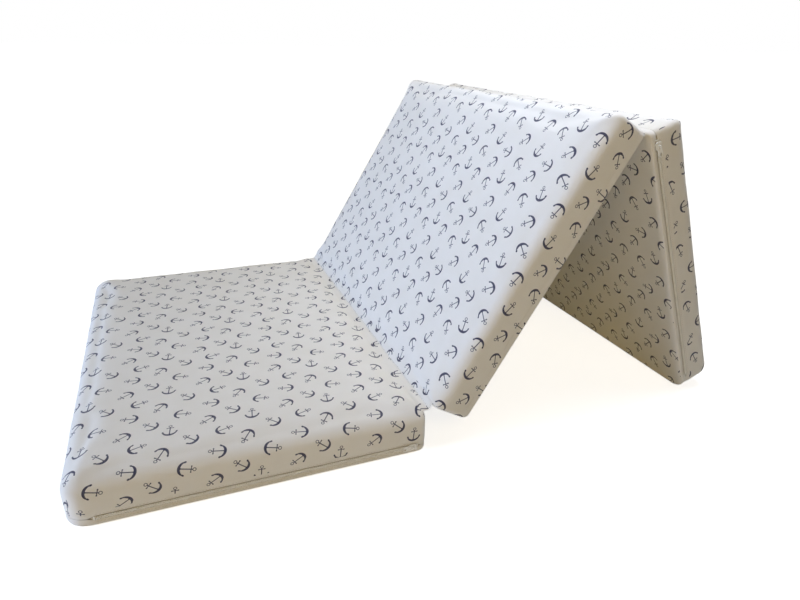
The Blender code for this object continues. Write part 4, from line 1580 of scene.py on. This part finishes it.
@dataclass(frozen=True)
class Studio:
    """Plain pale floor, white surroundings and soft lamps.

    The floor's own glow, which grows away from the object, brings it to white round the shadow.
    """

    floor_size: float = 60.0
    floor_colour: str = "#F4F4F2"
    floor_roughness: float = 0.9
    floor_specular: float = 0.1
    floor_glow: float = 0.78
    glow_middle: tuple[float, float, float] = (0.2, 0.0, 0.0)
    glow_ring: tuple[float, float] = (0.5, 1.6)
    ambient: str = "#EEF1F6"
    ambient_strength: float = 0.03
    lamps: tuple[Lamp, ...] = (
        Lamp("overhead", (0.55, -0.15, 1.0), 0.6, 5.85, "#E8F0FF"),
        Lamp("window", (-2.0, 0.0, 0.45), 1.0, 37.2, "#C2D9FF"),
        Lamp("far_wall", (0.4, 2.0, 1.3), 1.2, 9.8, "#FFDB69"),
        Lamp("room", (0.1, -1.2, 0.9), 0.6, 2.5, "#FFE4AD"),
        Lamp("low_bounce", (-1.3, -1.6, 0.45), 1.0, 4.3, "#FFD66C"),
    )

    def build(self) -> None:
        """Set up the floor, the world and the lamps."""
        scene = bpy.context.scene
        scene.view_settings.view_transform = "Standard"
        self.floor()
        self.world()
        for lamp in self.lamps:
            lamp.build()

    def seen(self, tree: bpy.types.NodeTree) -> Feed:
        """One for what the camera sees, straight or in gloss or through glass."""
        path = add_node(tree, "LightPath").outputs
        seen = path["Is Camera Ray"]
        for other in ("Is Glossy Ray", "Is Transmission Ray"):
            seen = add_node(tree, "Math", {0: seen, 1: path[other]}, operation="MAXIMUM")
        return seen

    def floor(self) -> None:
        """Lay the floor, whose own glow brings it to white round the object's soft shadow."""
        floor = add_shape("studio_floor", bpy.ops.mesh.primitive_plane_add, size=self.floor_size)
        made, tree, shader = fresh_material("floor_paint")
        feed(shader, {"Base Color": linear(self.floor_colour), "Roughness": self.floor_roughness,
                      "Specular IOR Level": self.floor_specular})
        place = add_node(tree, "TexCoord").outputs["Object"]
        away = add_node(tree, "VectorMath", {0: place, 1: self.glow_middle}, operation="DISTANCE")
        start, end = self.glow_ring
        glow = add_node(tree, "MapRange", {"Value": away.outputs["Value"], "From Min": start,
                                           "From Max": end, "To Min": self.floor_glow, "To Max": 1.0})
        share = add_node(tree, "Math", {0: self.seen(tree), 1: glow}, operation="MULTIPLY")
        white = add_node(tree, "Emission", {"Color": (1, 1, 1, 1), "Strength": share})
        mixed = add_node(tree, "AddShader", {0: shader, 1: white})
        feed(tree.nodes["Material Output"], {"Surface": mixed})
        floor.data.materials.append(made)

    def world(self) -> None:
        """White behind the object, and a weaker even light on it."""
        world = bpy.data.worlds.new("studio")
        bpy.context.scene.world = world
        world.use_nodes = True
        tree = world.node_tree
        ambient = tree.nodes["Background"]
        feed(ambient, {"Color": linear(self.ambient), "Strength": self.ambient_strength})
        white = add_node(tree, "Background", {"Color": (1, 1, 1, 1), "Strength": 1.0})
        mixed = add_node(tree, "MixShader", {0: self.seen(tree), 1: ambient, 2: white})
        feed(tree.nodes["World Output"], {"Surface": mixed})


FREE_TOP, HINGED_TOP = 0.018, 0.006
SIDE_BASE, OUTER_BASE, TUCKED_BASE, BUTTED_BASE = 0.004, 0.006, 0.012, 0.003
FREE_CORNER, HINGED_CORNER = 0.025, 0.008
COVER_EDGES = {
    "first": CoverEdges(
        (FREE_TOP, HINGED_TOP, FREE_TOP, FREE_TOP),
        (SIDE_BASE, TUCKED_BASE, SIDE_BASE, OUTER_BASE),
        (HINGED_CORNER, HINGED_CORNER, FREE_CORNER, FREE_CORNER),
    ),
    "middle": CoverEdges(
        (FREE_TOP, HINGED_TOP, FREE_TOP, FREE_TOP),
        (SIDE_BASE, TUCKED_BASE, SIDE_BASE, BUTTED_BASE),
        (HINGED_CORNER,) * 4,
    ),
    "last": CoverEdges(
        (FREE_TOP,) * 4,
        (SIDE_BASE, OUTER_BASE, SIDE_BASE, BUTTED_BASE),
        (FREE_CORNER, FREE_CORNER, HINGED_CORNER, HINGED_CORNER),
    ),
}
PRINT_LAYS = {
    "first": (PrintLay((0.0211, -0.2477), radians(-1.3), 0.062, (1.005, 0.987)), PrintLay((0.031, 0.012))),
    "middle": (PrintLay((0.3522, 0.2525), radians(179.4), 0.024, (0.994, 1.026)),
               PrintLay((0.052, 0.033), radians(0.8))),
    "last": (PrintLay((0.0159, -0.0401), radians(1.5)), PrintLay((-0.1405, -0.2645), radians(-1.7))),
}
# Height up to which a section's near side is plain cloth, where that is above the seam.
FACINGS = {"first": 0.017, "last": 0.017}
SLIDER_SIDES = {"first": Side.RIGHT, "middle": Side.LEFT, "last": Side.LEFT}


def section_places(record: dict, sizes: SectionSizes) -> dict[str, Matrix]:
    """Where each section's own frame stands, worked out from the record's two folds.

    Args:
        record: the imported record.
        sizes: the sections' shared sizes.

    Returns:
        Section name to the matrix that takes its frame to the row frame.
    """
    folds = {joint["name"]: joint for joint in record["behaviour"]["joints"]}
    lift = radians(folds["first_fold"]["range_deg"][0])
    turn = radians(folds["last_fold"]["range_deg"][0])
    first_axis = Matrix.Translation(folds["first_fold"]["pos_m"]) @ Matrix.Rotation(lift, 4, "Y")
    last_axis = Matrix.Translation(folds["last_fold"]["pos_m"]) @ Matrix.Rotation(lift - turn, 4, "Y")
    half_gap = sizes.fold_gap / 2
    seat = (half_gap + sizes.length, 0, -sizes.clearance - sizes.thickness)
    return {
        "first": Matrix.Translation((-sizes.length / 2, 0, 0)),
        "middle": first_axis @ Matrix.Translation(seat) @ Matrix.Rotation(pi, 4, "Z"),
        "last": last_axis @ Matrix.Translation((half_gap, 0, sizes.clearance)),
    }


def build_hinges(
    record: dict, places: dict[str, Matrix], covers: dict[str, list], cotton: bpy.types.Material,
) -> None:
    """Make the two bands of cloth that join the sections.

    Args:
        record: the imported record, which holds the folds' axes.
        places: each section's matrix.
        covers: each section's cover top and cover base.
        cotton: the printed cloth.
    """
    joints = record["behaviour"]["joints"]
    axes = {joint["name"]: Vector(joint["pos_m"]) for joint in joints if "fold" in joint["name"]}
    along = {name: place.to_3x3() @ Vector((1, 0, 0)) for name, place in places.items()}
    up = {name: place.to_3x3() @ Vector((0, 0, 1)) for name, place in places.items()}
    lays = {name: (places[name], PRINT_LAYS[name][0]) for name in places}
    HingeStrip("top_hinge_strip", ("first_section", "middle_section"), axes["first_fold"],
               (-along["first"], -along["middle"]), (up["first"], up["middle"]),
               (covers["first"][0], covers["middle"][0]), (lays["first"], lays["middle"])).build(cotton)
    HingeStrip("base_hinge_strip", ("middle_section", "last_section"), axes["last_fold"],
               (up["middle"], up["last"]), (-along["middle"], -along["last"]),
               (covers["middle"][0], covers["last"][0]), (lays["middle"], lays["last"])).build(cotton)


def main() -> None:
    """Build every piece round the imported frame, then the studio."""
    logging.basicConfig(level=logging.INFO, format="%(name)s %(message)s")
    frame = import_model()
    sizes = SectionSizes()
    Viewpoint().build()
    finishes = Finishes.make()
    places = section_places(frame["record"], sizes)
    covers = {}
    for name, place in places.items():
        edges = COVER_EDGES[name]
        FoamCore(name, place, sizes).build(finishes.foam)
        cover = SectionCover(name, place, edges, *PRINT_LAYS[name], sizes, facing=FACINGS.get(name, 0.0))
        covers[name] = cover.build(finishes.cotton)
        ZipKit(name, place, edges, SLIDER_SIDES[name], sizes).build(finishes, covers[name])
    build_hinges(frame["record"], places, covers, finishes.cotton)
    Studio().build()


if __name__ == "__main__":
    main()
